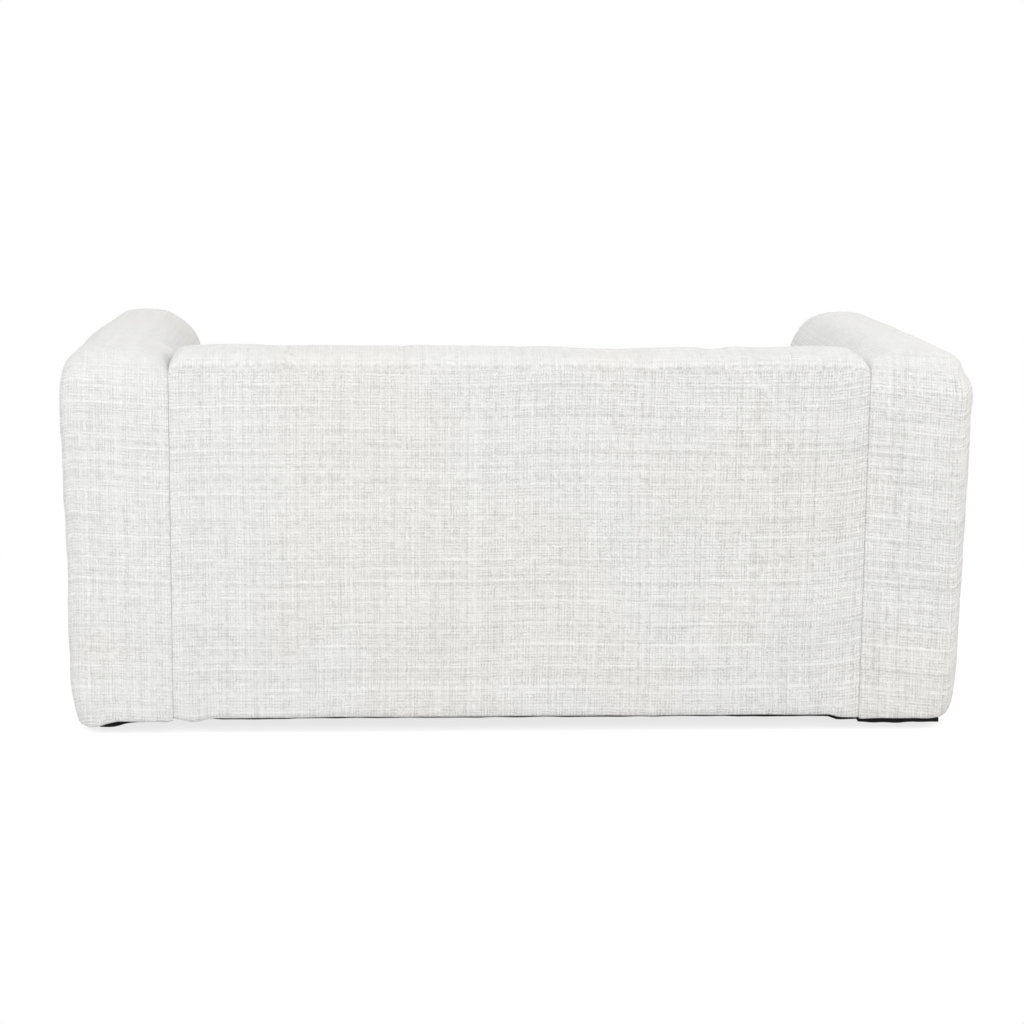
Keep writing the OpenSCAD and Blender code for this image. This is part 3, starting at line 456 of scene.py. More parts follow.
def lay_cloth(obj):
    """Cloth cut square to the axes: on each face the yarns that lie in it show."""
    points, normals = points_of(obj), np.abs(normals_of(obj))
    store_cloth(obj.data, points, 1 - smooth_step(normals, 0.62, 0.82))


# Arms, from the same values as the construction model
HALF_W, HALF_D, ARM_W, ARM_H = 0.825, 0.450, 0.196, 0.700
CROWN_H, REAR_END, FRONT_END, ARM_LEAN = 0.115, 0.060, 0.055, 0.020
EDGE_R, SEAM_R, SPLAY, ARM_HEM = 0.042, 0.0028, 0.008, 0.021
# How far the outer side draws in at the hem, and how sharply, on each arm
TUCK = {"left": (0.016, 16), "right": (0.020, 24)}
# How full the crown is on the inner and outer side: less is fuller
CROWN_POWER = {"left": (0.63, 0.76), "right": (0.56, 0.84)}
# Places where the outer side swells or sinks: height, reach up and down, place and reach along, amount
SWELLS = {"left": ((0.575, 0.045, 0.40, 0.25, 0.0035), (0.100, 0.035, 0.40, 0.30, 0.0040),
                   (0.655, 0.035, -0.05, 0.25, 0.0110)),
          "right": ((0.615, 0.022, 0.40, 0.20, 0.0030), (0.665, 0.016, 0.42, 0.16, -0.0050),
                    (0.670, 0.030, 0.00, 0.22, 0.0045))}
ARM_X = HALF_W - ARM_W
SHOULDER = ARM_H - CROWN_H
HEM_R = 0.005
# Points along the straight sides of each level, and the points of each corner
LOOP, CORNER_POINTS = (60, 22, 60, 14), 9


def spread(a, b, step):
    return np.linspace(a, b, max(2, int(abs(b - a) / step) + 1))


def arm_ring(x0, x1, y0, y1, outer, inner):
    """Closed plan loop with as many points at every level, and how far each is round to an end."""
    half = (x1 - x0) / 2
    outer, inner = min(outer, half), min(inner, half)
    loop, end = [], []
    corners = ((x1 - outer, y0 + outer, outer, -90), (x1 - outer, y1 - outer, outer, 0),
               (x0 + inner, y1 - inner, inner, 90), (x0 + outer, y0 + outer, outer, 180))
    for k, (cx, cy, r, a0) in enumerate(corners):
        for t in np.linspace(0, 1, CORNER_POINTS):
            a = math.radians(a0 + 90 * t)
            loop.append((cx + r * math.cos(a), cy + r * math.sin(a)))
            end.append(t if k in (1, 3) else 1 - t)
        nx, ny, nr, na = corners[(k + 1) % 4]
        a = math.radians(na)
        start, stop = loop[-1], (nx + nr * math.cos(a), ny + nr * math.sin(a))
        for t in np.linspace(0, 1, LOOP[k] + 2)[1:-1]:
            loop.append((start[0] + t * (stop[0] - start[0]), start[1] + t * (stop[1] - start[1])))
            end.append(0.0 if k in (0, 2) else 1.0)
    return np.array(loop), np.array(end)


def build_arm(side):
    left = side == "left"
    sign = 1 if left else -1
    tuck, tuck_power = TUCK[side]
    inner_power, outer_power = CROWN_POWER[side]
    rings, rolls, ends = [], [], []

    def add(plan, z, roll):
        loop, end = plan
        rings.append(np.c_[loop, np.full(len(loop), z)])
        ends.append(end)
        rolls.append(roll)

    # Under the hem, up the sides, and over the crown
    for z, inset in ((ARM_HEM + 0.0025, 0.030), (ARM_HEM + 0.001, 0.018), (ARM_HEM, HEM_R),
                     (ARM_HEM + HEM_R * 0.3, HEM_R * 0.3)):
        add(arm_ring(ARM_X + inset, HALF_W - tuck - SPLAY - inset, inset - HALF_D, HALF_D - inset,
                     EDGE_R - inset * 0.8, SEAM_R), z, z - inset)
    for z in np.concatenate([np.linspace(ARM_HEM + HEM_R, ARM_HEM + 0.09, 10)[:-1],
                             spread(ARM_HEM + 0.09, SHOULDER, 0.013)]):
        below = 1 - min(1, (z - ARM_HEM) / (SHOULDER - ARM_HEM))
        outer_x = HALF_W - SPLAY * below - tuck * below ** tuck_power
        add(arm_ring(ARM_X, outer_x, -HALF_D, HALF_D, EDGE_R, SEAM_R), z, z)
    before = (ARM_W / 2, 0)
    for turn in np.radians(np.linspace(0, 90, 30)[1:]):
        cosine = max(math.cos(turn), 0)
        across, up = cosine ** 0.8, math.sin(turn) ** 0.8
        lean = HALF_W - ARM_W / 2 + ARM_LEAN * up * up
        x0 = lean - ARM_W / 2 * cosine ** inner_power
        x1 = lean + ARM_W / 2 * cosine ** outer_power
        mid, half = (x0 + x1) / 2, (x1 - x0) / 2
        rear, front = HALF_D - REAR_END * (1 - across), HALF_D - FRONT_END * (1 - across)
        inner = SEAM_R + (0.8 * half - SEAM_R) * float(smooth_step(np.array(up), 0.64, 1))
        loop, end = arm_ring(mid - half, mid + half, -front, rear,
                             EDGE_R * (0.4 + 0.6 * across), max(inner, 0))
        # Where the back presses on it the inner side stays upright further up
        height = SHOULDER + CROWN_H * up
        full = ARM_X + ARM_W / 2 * (1 - cosine ** 0.30) + ARM_LEAN * up ** 6
        full = ARM_X + (full - ARM_X) * float(smooth_step(np.array(height), 0.660, 0.694))
        press = smooth_step(loop[:, 1], 0.10, 0.26)
        share = np.clip((mid - loop[:, 0]) / max(half, 1e-6), 0, 1)
        loop[:, 0] = loop[:, 0] - press * share * max(0, mid - half - full)
        here = (half, CROWN_H * up)
        roll = rolls[-1] + math.hypot(here[0] - before[0], here[1] - before[1])
        before = here
        add((loop, end), height, roll)
    columns = len(rings[0])
    faces = grid_faces(len(rings), columns, wrap=True)
    faces.append(tuple(range(columns)))
    points = np.concatenate(rings)
    end = smooth_step(np.concatenate(ends), 0.25, 0.75)
    roll = np.repeat(rolls, columns)
    crown = smooth_step(points[:, 2], SHOULDER + 0.05, ARM_H)
    inner = points[:, 0] - ARM_X
    # On the rear the picks fall a little towards the seam of one arm, and away from it on the other
    pull = end * (points[:, 1] > 0) * (0.045 * inner if left else -0.095 * inner)
    cloth = np.c_[points[:, 0] * sign, points[:, 1], roll - pull]
    seen = np.c_[end, (1 - end), 1 - 0.5 * crown * (1 - end)]

    # Soft waves of the padding, which die out on top, and gathers at the hem
    p = points * [sign, 1, 1]
    out = np.c_[(points[:, 0] - (HALF_W - ARM_W / 2 + ARM_LEAN * crown)) * (1 - end) * sign,
                points[:, 1] * end, crown * 0.1]
    out /= np.maximum(np.linalg.norm(out, axis=1, keepdims=True), 1e-6)
    calm = (smooth_step(p[:, 2], ARM_HEM, ARM_HEM + 0.05)
            * (1 - smooth_step(p[:, 2], ARM_H - 0.012, ARM_H - 0.003)))
    tight = fade(inner, 0.006) * (p[:, 1] > HALF_D - 0.012)
    at_back = inner < 0.0005
    wave = 0.0013 * wave_noise(p, 0.22, 11 + sign) + 0.0006 * wave_noise(p, 0.07, 21 + sign) - 0.0013
    gather = 0.0008 * wave_noise(p * [1, 1, 0.25], 0.035, 31 + sign) * fade(p[:, 2] - ARM_HEM, 0.04)
    p += out * ((wave * calm + np.minimum(gather, 0.0002)) * (1 - tight) * ~at_back)[:, None]
    # The left arm hangs lower at its outer rear corner, and the outer sides swell and sink in places
    hem = fade(points[:, 2] - ARM_HEM, 0.035)
    if left:
        corner = smooth_step(points[:, 0], 0.725, 0.785) * smooth_step(points[:, 1], 0.30, 0.41)
        p[:, 2] -= 0.0115 * hem * corner
    outer = smooth_step(points[:, 0], 0.755, 0.81)
    for z, z_reach, y, y_reach, amount in SWELLS[side]:
        away = ((points[:, 2] - z) / z_reach) ** 2 + ((points[:, 1] - y) / y_reach) ** 2
        swell = amount * outer * np.exp(-away)
        p[:, 0] += sign * swell
        p[:, 2] += 0.7 * swell * smooth_step(points[:, 2], 0.62, 0.66)
    p[:, 2] += hem * (0.0012 * left - 0.0006 * (1 + wave_noise(p * [1, 1, 0], 0.09, 35 + sign)))
    obj = make("arm_upholstery_" + side, p, faces, "root", cloth=cloth, seen=seen)
    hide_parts("arm_cover_" + side, "arm_foam_" + side)


for side in ("left", "right"):
    build_arm(side)


# Back: channelled panel over foam, with the flat rear panel below its ridge
BACK_X, BACK_H, CHANNELS = 0.6284, 0.700, 6
CHANNEL_T, CHANNEL_SEAM_T, RIDGE_DIP = 0.062, 0.022, 0.0025
RIDGE_REAR_R, RAKE = 0.031, 0.035
RIDGE_END_R = {"left": 0.021, "right": 0.032}
# Where the ridge is a little low: place, reach and depth
RIDGE_SAGS = ((-0.145, 0.100, 0.0055), (-0.356, 0.026, 0.0060))
SEAM_Z = BACK_H - RIDGE_REAR_R
CORNER_DROP, CORNER_REACH = 0.005, 0.045
BASE_HEM = 0.028
# The yarns that show on an upright face: those across x and those across the height
FACE_YARNS = (1.0, 0.0, 1.0)
EDGE_GAP, FOAM_GAP = 0.00015, 0.0003


def seam_height(x):
    """Height of the seam under the ridge, which rounds down at both ends."""
    over = np.clip((np.abs(x) - BACK_X + CORNER_REACH) / CORNER_REACH, 0, 1)
    return SEAM_Z - CORNER_DROP * over ** 2.5


def smooth_path(points, per_span):
    """Points on a smooth curve through the given ones."""
    q = np.array(points, float)
    q = np.concatenate([[2 * q[0] - q[1]], q, [2 * q[-1] - q[-2]]])
    out = []
    for k in range(1, len(q) - 2):
        for t in np.linspace(0, 1, per_span, endpoint=False):
            out.append(0.5 * (2 * q[k] + (q[k + 1] - q[k - 1]) * t
                              + (2 * q[k - 1] - 5 * q[k] + 4 * q[k + 1] - q[k + 2]) * t * t
                              + (3 * q[k] - q[k - 1] - 3 * q[k + 1] + q[k + 2]) * t ** 3))
    out.append(q[-2])
    return np.array(out)


def build_channels():
    """One skin of six channels, from the rear seam over the ridge to the foot of the seat side."""
    foam_z0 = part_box("channel_panel")[0].z
    foam_low, foam_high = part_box("back_foam")
    roll_low, roll_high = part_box("back_top_roll")
    foam_y0, foam_top_y0 = foam_low.y, roll_low.y
    frame_top, rear_y = foam_high.z, roll_high.y
    width = 2 * BACK_X / CHANNELS
    crest_y, foot_r = 0.362, 0.010
    front_y = foam_top_y0 - FOAM_GAP - CHANNEL_T
    over_top = smooth_path([(HALF_D, 0), (0.4450, 0.0155), (0.4325, 0.0248), (0.4100, 0.0292),
                            (crest_y, 0.0310), (0.315, 0.0285), (0.272, 0.0200), (0.243, 0.0060),
                            (front_y + 0.006, -0.014), (front_y, -0.040)], 4)
    # Places across the back, and how full the channel is there
    stations = []
    for c in range(CHANNELS):
        for t in np.linspace(-1, 1, 23)[:-1]:
            u = math.sin(t * math.pi / 2)
            stations.append(((c + 0.5 + u / 2) * width - BACK_X, math.sqrt(max(0, 1 - abs(u) ** 2.6))))
    stations.append((BACK_X, 0.0))

    def slab(z):
        return foam_y0 + RAKE * (z - foam_z0) / (frame_top - foam_z0) - FOAM_GAP

    inner = [(rear_y + 0.001, roll_high.z + 0.001), (foam_top_y0 + 0.01, roll_high.z + 0.001),
             (foam_top_y0 - 0.001, roll_high.z - 0.010), (foam_top_y0 - 0.001, frame_top),
             (slab(foam_z0) - 0.001, foam_z0)]
    rings, cloth, across = [], [], 0.0
    for k, (x, b) in enumerate(stations):
        thick = CHANNEL_SEAM_T + (CHANNEL_T - CHANNEL_SEAM_T) * b
        end_r = RIDGE_END_R["left" if x > 0 else "right"]
        over = max(0, abs(x) - BACK_X + end_r) / end_r
        share = math.sqrt(max(0, 1 - over ** 2.2))
        seam = float(seam_height(x))
        front = foam_top_y0 - FOAM_GAP - thick
        sag = sum(depth * math.exp(-((x - at) / reach) ** 2) for at, reach, depth in RIDGE_SAGS)
        lift = (RIDGE_REAR_R - RIDGE_DIP * (1 - b) - sag) / RIDGE_REAR_R
        ring = [(HALF_D - 0.006, seam - 0.008), (HALF_D - 0.0012, seam - 0.003)]
        for y, z in over_top:
            y = y if y > crest_y else crest_y + (y - crest_y) * (crest_y - front) / (crest_y - front_y)
            ring.append((y, seam + z * lift * (0.06 + 0.94 * share) if z > 0 else seam + z))
        start_z, foot = ring[-1][1], foam_z0 + foot_r
        for t in np.linspace(0, 1, 26)[1:]:
            z = start_z + t * (foot - start_z)
            ring.append((float(front + (slab(z) - thick - front) * smooth_step(np.array(t), 0, 0.35)), z))
        for a in np.radians(np.linspace(0, 90, 5))[1:]:
            ring.append((slab(foam_z0) - thick + foot_r * (1 - math.cos(a)), foot - foot_r * math.sin(a)))
        down = path_lengths(ring)
        if k == 0:
            level = down
        else:
            last_x, last_b = stations[k - 1]
            across += math.hypot(x - last_x, (CHANNEL_T - CHANNEL_SEAM_T) * (b - last_b) * 0.8)
        ring += list(reversed(inner))
        rings += [(x, y, z) for y, z in ring]
        # The picks run nearly level from lobe to lobe
        down = 0.7 * level + 0.3 * down
        cloth += [(across - 0.75, 0, down[min(j, len(down) - 1)]) for j in range(len(ring))]
    columns = len(ring)
    points, cloth = np.array(rings), np.array(cloth)
    faces = capped_rings(len(stations), columns)
    seen = np.tile(FACE_YARNS, (len(points), 1))

    # Puckers along the stitched seams and soft waves on the lobes
    u = ((points[:, 0] + BACK_X) / width) % 1
    near = np.minimum(u, 1 - u) * width
    seam = np.exp(-near / 0.012)
    column = np.arange(len(points)) % columns
    free = (column >= 2) & (column < columns - len(inner) - 1) & (np.abs(points[:, 0]) < BACK_X - 0.002)
    away = np.c_[np.zeros(len(points)), points[:, 1] - 0.345, np.maximum(points[:, 2] - 0.62, 0) * 2]
    away /= np.maximum(np.linalg.norm(away, axis=1, keepdims=True), 1e-6)
    pucker = 0.0016 * wave_noise(points * [0.3, 1, 1], 0.030, 41) * seam
    wave = (0.0010 * wave_noise(points, 0.16, 42) - 0.0010) * (1 - seam)
    points = points + away * ((pucker + wave) * free)[:, None]
    obj = make("channelled_back", points, faces, "root", cloth=cloth, seen=seen)
    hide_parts("channel_panel", "back_foam", "back_top_roll")


build_channels()


def build_rear_panel():
    """Flat panel of the rear with its edges rolled in beside the arms and under the foot."""
    half, roll_r = ARM_X - EDGE_GAP, 0.0028
    edge_x = roll_r * (1 - np.cos(np.linspace(0, math.pi / 2, 6)[:-1]))
    columns = np.concatenate([edge_x - half, spread(roll_r - half, half - roll_r, 0.009),
                              half - edge_x[::-1]])
    rings = []
    for x in columns:
        edge = half - abs(x)
        top = float(seam_height(x))
        side = roll_r - math.sqrt(max(0, roll_r ** 2 - max(0, roll_r - edge) ** 2))
        ring = [(HALF_D - 0.030, BASE_HEM + 0.001), (HALF_D - 0.014, BASE_HEM)]
        for z in np.concatenate([BASE_HEM + np.array([0.0, 0.002, 0.005, 0.010]),
                                 np.linspace(BASE_HEM + 0.018, top - 0.014, 62),
                                 top - np.array([0.009, 0.005, 0.0025, 0.0012, 0.0004])]):
            turned_top = 0.0030 * max(0, 1 - (top - z) / 0.004) ** 2
            turned_hem = 0.004 * max(0, 1 - (z - BASE_HEM) / 0.008) ** 2
            ring.append((HALF_D - 0.0006 - side - (turned_top + turned_hem), z))
        ring += [(HALF_D - 0.014, top - 0.004), (HALF_D - 0.014, BASE_HEM + 0.010)]
        rings += [(x, y, z) for y, z in ring]
    points = np.array(rings)
    faces = capped_rings(len(columns), len(ring))
    flat, across = points * [1, 0, 1], points * [1, 0, 0]
    face = points[:, 1] > HALF_D - 0.008
    free = (smooth_step(half - np.abs(points[:, 0]), 0.0, 0.05)
            * smooth_step(SEAM_Z - points[:, 2], 0.002, 0.03))
    wave = 0.0013 * wave_noise(flat, 0.30, 51) + 0.0005 * wave_noise(flat, 0.07, 52)
    points[:, 1] += face * free * (wave - 0.0009)
    # The picks lift or fall near the arms, where the cloth was pulled in
    left, right = half - points[:, 0], half + points[:, 0]
    lift = -0.006 * np.exp(-left / 0.09) + 0.013 * np.exp(-right / 0.045)
    cloth = np.c_[points[:, :2], points[:, 2] - lift + 0.003 * wave_noise(points * [1, 0, 0.2], 0.5, 54)]
    seen = np.tile(FACE_YARNS, (len(points), 1))
    # The hem isn't quite straight: it sags near both lower corners
    sag = (0.0008 * smooth_step(points[:, 0], 0.30, 0.45)
           + 0.0075 * np.exp(-((points[:, 0] - 0.592) / 0.022) ** 2)
           + 0.0052 * smooth_step(-points[:, 0], 0.572, 0.596)
           + 0.0005 * wave_noise(across, 0.20, 53))
    points[:, 2] -= fade(points[:, 2] - BASE_HEM, 0.03) * sag
    obj = make("rear_panel", points, faces, "root", cloth=cloth, seen=seen)
    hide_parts("rear_cover", "rear_batting")


build_rear_panel()


# Front border and deck
def build_front_border():
    low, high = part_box("front_border_cover")
    y0, z0, z1, y1 = low.y, low.z, high.z, high.y
    hem_r, top_r = 0.003, 0.0223
    profile = [(y0 + 0.028, z0 + 0.001), (y0 + 0.012, z0)]
    profile += [(y0 + hem_r * (1 - math.sin(a)), z0 + hem_r * (1 - math.cos(a)))
                for a in np.linspace(0, math.pi / 2, 4)]
    profile += [(y0, z) for z in spread(z0 + 0.012, z1 - top_r, 0.012)]
    profile += [(y0 + top_r * (1 - math.cos(a)), z1 - top_r + top_r * math.sin(a))
                for a in np.linspace(0, math.pi / 2, 9)[1:]]
    profile += [(y1, z1), (y1, z1 - 0.004), (y0 + 0.012, z1 - 0.030), (y0 + 0.012, z0 + 0.010)]
    columns = spread(-BACK_X + 0.0005, BACK_X - 0.0005, 0.012)
    points = np.array([(x, y, z) for x in columns for y, z in profile])
    cloth = np.c_[points[:, :2], np.tile(path_lengths(profile), len(columns))]
    seen = np.tile(FACE_YARNS, (len(points), 1))
    face = points[:, 1] < y0 + 0.004
    points[:, 1] += face * (0.0010 + 0.0010 * wave_noise(points * [1, 0, 1], 0.20, 61))
    obj = make("front_border", points, capped_rings(len(columns), len(profile)), "root",
               cloth=cloth, seen=seen)
    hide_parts("front_border_cover", "front_border_pad")


build_front_border()


def build_deck():
    low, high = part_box("deck_cloth")
    xs, ys = spread(low.x + 0.001, high.x - 0.001, 0.02), spread(low.y + 0.001, high.y - 0.001, 0.02)
    top = np.array([(x, y, high.z - 0.0001) for x in xs for y in ys])
    bottom = top - [0, 0, high.z - low.z - 0.0002]
    obj = make("deck_top", np.concatenate([top, bottom]), two_layers(len(xs), len(ys)), "root",
               slot="deck_fabric")
    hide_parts("deck_cloth", "deck_foam")


build_deck()


# Loose seat cushions
CUSHION_CORNER_R, CUSHION_CROWN, CUSHION_STEP, CUSHION_RINGS = 0.032, 0.026, 0.0125, 10
# The most that a point moves in the simulation, how much smaller the cover starts, and how far past
# its place it is spread before it is cut back to it
SWELL_CAP, SWELL_ROOM, PRESS = 0.020, 0.006, 0.003
SIDE_GAP, SEAM_DEPTH = 0.0008, 0.0034
CLOTH_FRAMES = 20


def cushion_mesh(x0, x1, y0, y1, z0, z1):
    """Points and faces of a boxed cushion with a crowned top, and the heights of its two sewn edges."""
    z_low, z_top = z0 + 0.004, z1 - CUSHION_CROWN
    nx, ny, nz = int((x1 - x0) / CUSHION_STEP), int((y1 - y0) / CUSHION_STEP), CUSHION_RINGS
    cx, cy = (x0 + x1) / 2, (y0 + y1) / 2
    hx, hy = (x1 - x0) / 2, (y1 - y0) / 2

    def to_plan(u, v):
        """Square u, v of -1 to 1 onto the rounded plan."""
        r = CUSHION_CORNER_R
        x, y = u * hx, v * hy
        ex, ey = abs(x) - (hx - r), abs(y) - (hy - r)
        if ex > 0 and ey > 0:
            far = max(ex, ey)
            turn = math.atan2(ey, ex)
            x = math.copysign(hx - r + far * math.cos(turn), x)
            y = math.copysign(hy - r + far * math.sin(turn), y)
        return cx + x, cy + y

    us, vs = (np.sin(np.linspace(-1, 1, n + 1) * math.pi / 2 * 0.8) / math.sin(math.pi / 2 * 0.8)
              for n in (nx, ny))
    points, faces, index = [], [], {}

    def vert(key, p):
        if key not in index:
            index[key] = len(points)
            points.append(p)
        return index[key]

    def surface(is_top):
        grid = [[None] * (ny + 1) for _ in range(nx + 1)]
        for i, u in enumerate(us):
            for j, v in enumerate(vs):
                if is_top:
                    z = z_top + CUSHION_CROWN * ((1 - abs(u) ** 2.4) * (1 - abs(v) ** 2.4)) ** 0.55
                else:
                    z = z0 + 0.004 * max(abs(u), abs(v)) ** 8
                edge = i in (0, nx) or j in (0, ny)
                key = ("edge", i, j, nz if is_top else 0) if edge else (is_top, i, j)
                grid[i][j] = vert(key, (*to_plan(u, v), z))
        for i in range(nx):
            for j in range(ny):
                f = (grid[i][j], grid[i + 1][j], grid[i + 1][j + 1], grid[i][j + 1])
                faces.append(f if is_top else tuple(reversed(f)))

    surface(True)
    surface(False)
    border = ([(i, 0) for i in range(nx)] + [(nx, j) for j in range(ny)]
              + [(i, ny) for i in range(nx, 0, -1)] + [(0, j) for j in range(ny, 0, -1)])
    rings = []
    for k in range(nz + 1):
        t = k / nz
        z = z_low * (1 - t) + z_top * t
        rings.append([vert(("edge", i, j, k), (*to_plan(us[i], vs[j]), z)) for i, j in border])
    for low_ring, high_ring in zip(rings, rings[1:]):
        for a in range(len(border)):
            b = (a + 1) % len(border)
            faces.append((low_ring[a], low_ring[b], high_ring[b], high_ring[a]))
    base = np.array(points)
    # Sides pull in between the corners, and the whole starts a little small because it swells
    mid_x, mid_y = np.clip((base[:, 0] - cx) / hx, -1, 1), np.clip((base[:, 1] - cy) / hy, -1, 1)
    base[:, 0] -= mid_x * (SWELL_ROOM + 0.004 * (1 - mid_y ** 2) * np.abs(mid_x) ** 6)
    base[:, 1] -= mid_y * (SWELL_ROOM + 0.005 * (1 - mid_x ** 2) * np.abs(mid_y) ** 6 * (mid_y < 0))
    base[:, 2] = z0 + 0.002 + (base[:, 2] - z0) * (1 - 0.008 / (z1 - z0))
    return base, faces, base[rings[0][0], 2], base[rings[nz][0], 2]


def build_cushion(side):
    sign = 1 if side == "left" else -1
    # Both are made in the left one's place, and the right one is mirrored
    low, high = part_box("cushion_cover_left")
    x0, x1, y0, y1, z0, z1 = low.x, high.x, low.y, high.y, low.z, high.z
    cx, cy = (x0 + x1) / 2, (y0 + y1) / 2
    hx, hy = (x1 - x0) / 2, (y1 - y0) / 2
    base, faces, seam_low_z, seam_top_z = cushion_mesh(x0, x1, y0, y1, z0, z1)
    obj = make("seat_cushion_pad_" + side, base * [sign, 1, 1], faces, "seat_cushion_" + side)
    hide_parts("cushion_cover_" + side, "cushion_core_" + side)
    start = points_of(obj)
    seam = (np.abs(start[:, 2] - seam_top_z) < 0.0015) | (np.abs(start[:, 2] - seam_low_z) < 0.0012)
    seam &= np.maximum(np.abs(np.abs(start[:, 0]) - cx) / hx, np.abs(start[:, 1] - cy) / hy) > 0.93
    p = start.copy()
    p = swell_cloth(obj, start)
    # The filling spreads it over its whole plan, up to the arm and the other cushion
    for axis, mid, half in ((0, sign * cx, hx), (1, cy, hy)):
        out = np.abs(p[:, axis] - mid).max()
        p[:, axis] = mid + (p[:, axis] - mid) * (half + PRESS) / out
    # Stays in its own space: flat on the deck, clear of the arm, the other cushion and the back
    own_side = np.sign(np.where(p[:, 0] == 0, sign, p[:, 0]))
    p[:, 0] = np.clip(np.abs(p[:, 0]), x0 + SIDE_GAP, x1 - SIDE_GAP) * own_side
    p[:, 1] = np.clip(p[:, 1], y0 - 0.006, y1 - 0.0005)
    p[:, 2] = np.clip(p[:, 2], z0 + 0.0002, z1 + 0.012)
    set_points(obj, p)
    # The zip lies in a shallow placket in the rear side
    z_low, z_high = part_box("zip_chain_" + side)
    near = ((p[:, 1] > y1 - 0.03) & (p[:, 0] > z_low.x - 0.012) & (p[:, 0] < z_high.x + 0.012)
            & (p[:, 2] > z_low.z - 0.012) & (p[:, 2] < z_high.z + 0.012))
    p[near, 1] = np.minimum(p[near, 1], y1 - 0.0026)
    set_points(obj, p)
    n = normals_of(obj)
    wrinkle = 0.0010 * wave_noise(p, 0.10, 71 + sign) + 0.0005 * wave_noise(p, 0.035, 73 + sign)
    free = smooth_step(p[:, 2], z0, z0 + 0.02) * (p[:, 1] < y1 - 0.004)
    p += n * ((wrinkle - 0.0014) * free)[:, None]
    # The sewn edges are drawn in to a thin groove
    p -= n * (SEAM_DEPTH * seam * (p[:, 2] > z0 + 0.006))[:, None]
    set_points(obj, p)
    smooth = obj.modifiers.new("finer", "SUBSURF")
    smooth.levels = smooth.render_levels = 1
    lay_cloth(obj)


def swell_cloth(obj, start):
    """Blows the cover up with the cloth solver, caps how far a point moves and returns the points."""
    data = obj.data.copy()
    work = bpy.data.objects.new(obj.name + "_sim", data)
    scene.collection.objects.link(work)
    cloth = work.modifiers.new("cloth", "CLOTH")
    cloth.settings.quality = 5
    cloth.settings.mass = 0.3
    cloth.settings.tension_stiffness = 25
    cloth.settings.compression_stiffness = 20
    cloth.settings.shear_stiffness = 12
    cloth.settings.bending_stiffness = 1.0
    cloth.settings.use_pressure = True
    cloth.settings.uniform_pressure_force = 4.0
    cloth.settings.effector_weights.gravity = 0
    cloth.point_cache.frame_start, cloth.point_cache.frame_end = 1, CLOTH_FRAMES
    for number in range(1, CLOTH_FRAMES + 1):
        scene.frame_set(number)
    graph = bpy.context.evaluated_depsgraph_get()
    mesh = work.evaluated_get(graph).to_mesh()
    co = np.zeros(len(mesh.vertices) * 3, np.float32)
    mesh.vertices.foreach_get("co", co)
    work.evaluated_get(graph).to_mesh_clear()
    bpy.data.objects.remove(work)
    bpy.data.meshes.remove(data)
    scene.frame_set(1)
    move = co.reshape(-1, 3).astype(float) - start
    length = np.linalg.norm(move, axis=1, keepdims=True)
    return start + move * np.minimum(1, SWELL_CAP / np.maximum(length, 1e-9))


for side in ("left", "right"):
    build_cushion(side)


# Black lining under the seat and the arms
def build_lining(node, droop, thick, flat, reach=(0.0, 0.0)):
    """Sheet that sags by flat in its middle, hangs by droop at its rear edge and is thick there."""
    low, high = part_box(node)
    xs = spread(low.x - reach[0], high.x + reach[1], 0.008)
    ys = np.concatenate([spread(low.y, high.y - 0.05, 0.03)[:-1], spread(high.y - 0.05, high.y, 0.006)])
    top = np.array([(x, y, high.z - 0.0004) for x in xs for y in ys])
    rear = smooth_step(top[:, 1], high.y - 0.045, high.y - 0.004)
    fx = (top[:, 0] - xs[0]) / (xs[-1] - xs[0])
    fy = np.clip((top[:, 1] - low.y) / (high.y - low.y), 0, 1)
    middle = np.sin(fx * math.pi) * np.sin(fy * math.pi)
    top[:, 2] -= rear * droop(top[:, 0]) + middle * flat * (1 + 0.5 * wave_noise(top, 0.25, len(node)))
    bottom = top - np.c_[np.zeros((len(top), 2)), 0.0018 + rear * thick(top[:, 0])]
    obj = make(node + "_cloth", np.concatenate([top, bottom]), two_layers(len(xs), len(ys)), "root",
               slot="lining_black")
    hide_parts(node)


def rough(x, seed):
    return wave_noise(np.c_[x, x * 0, x * 0], 0.05, seed)


def centre_end(x):
    return smooth_step(-x, 0.570, 0.592)


def centre_droop(x):
    """The centre lining shows as a thin line at both ends of the rear, and hangs lower at the right one."""
    left_line = smooth_step(x, 0.40, 0.43) * (1 - smooth_step(x, 0.54, 0.56))
    right_line = smooth_step(-x, 0.37, 0.41)
    return 0.0002 + 0.0012 * left_line + 0.0012 * right_line + 0.0052 * centre_end(x) + 0.0004 * rough(x, 81)


def left_droop(x):
    """The left lining hangs as a wedge towards the outer corner, and is hidden towards the seat."""
    return 0.0034 * smooth_step(x, 0.712, 0.745) - 0.0014 * smooth_step(-x, -0.712, -0.690)


def left_thick(x):
    return 0.0042 * smooth_step(x, 0.705, 0.735) * (1 - smooth_step(x, 0.755, 0.778))


build_lining("lining_centre", centre_droop, lambda x: 0.0012 * centre_end(x), 0.0022, reach=(0.0078, 0.0))
build_lining("lining_left", left_droop, left_thick, 0.0012, reach=(0.0, -0.003))
build_lining("lining_right", lambda x: 0.0008 + 0.0005 * rough(x, 83),
             lambda x: 0.0058 + 0.0008 * rough(x, 84), 0.0012, reach=(-0.007, 0.0078))


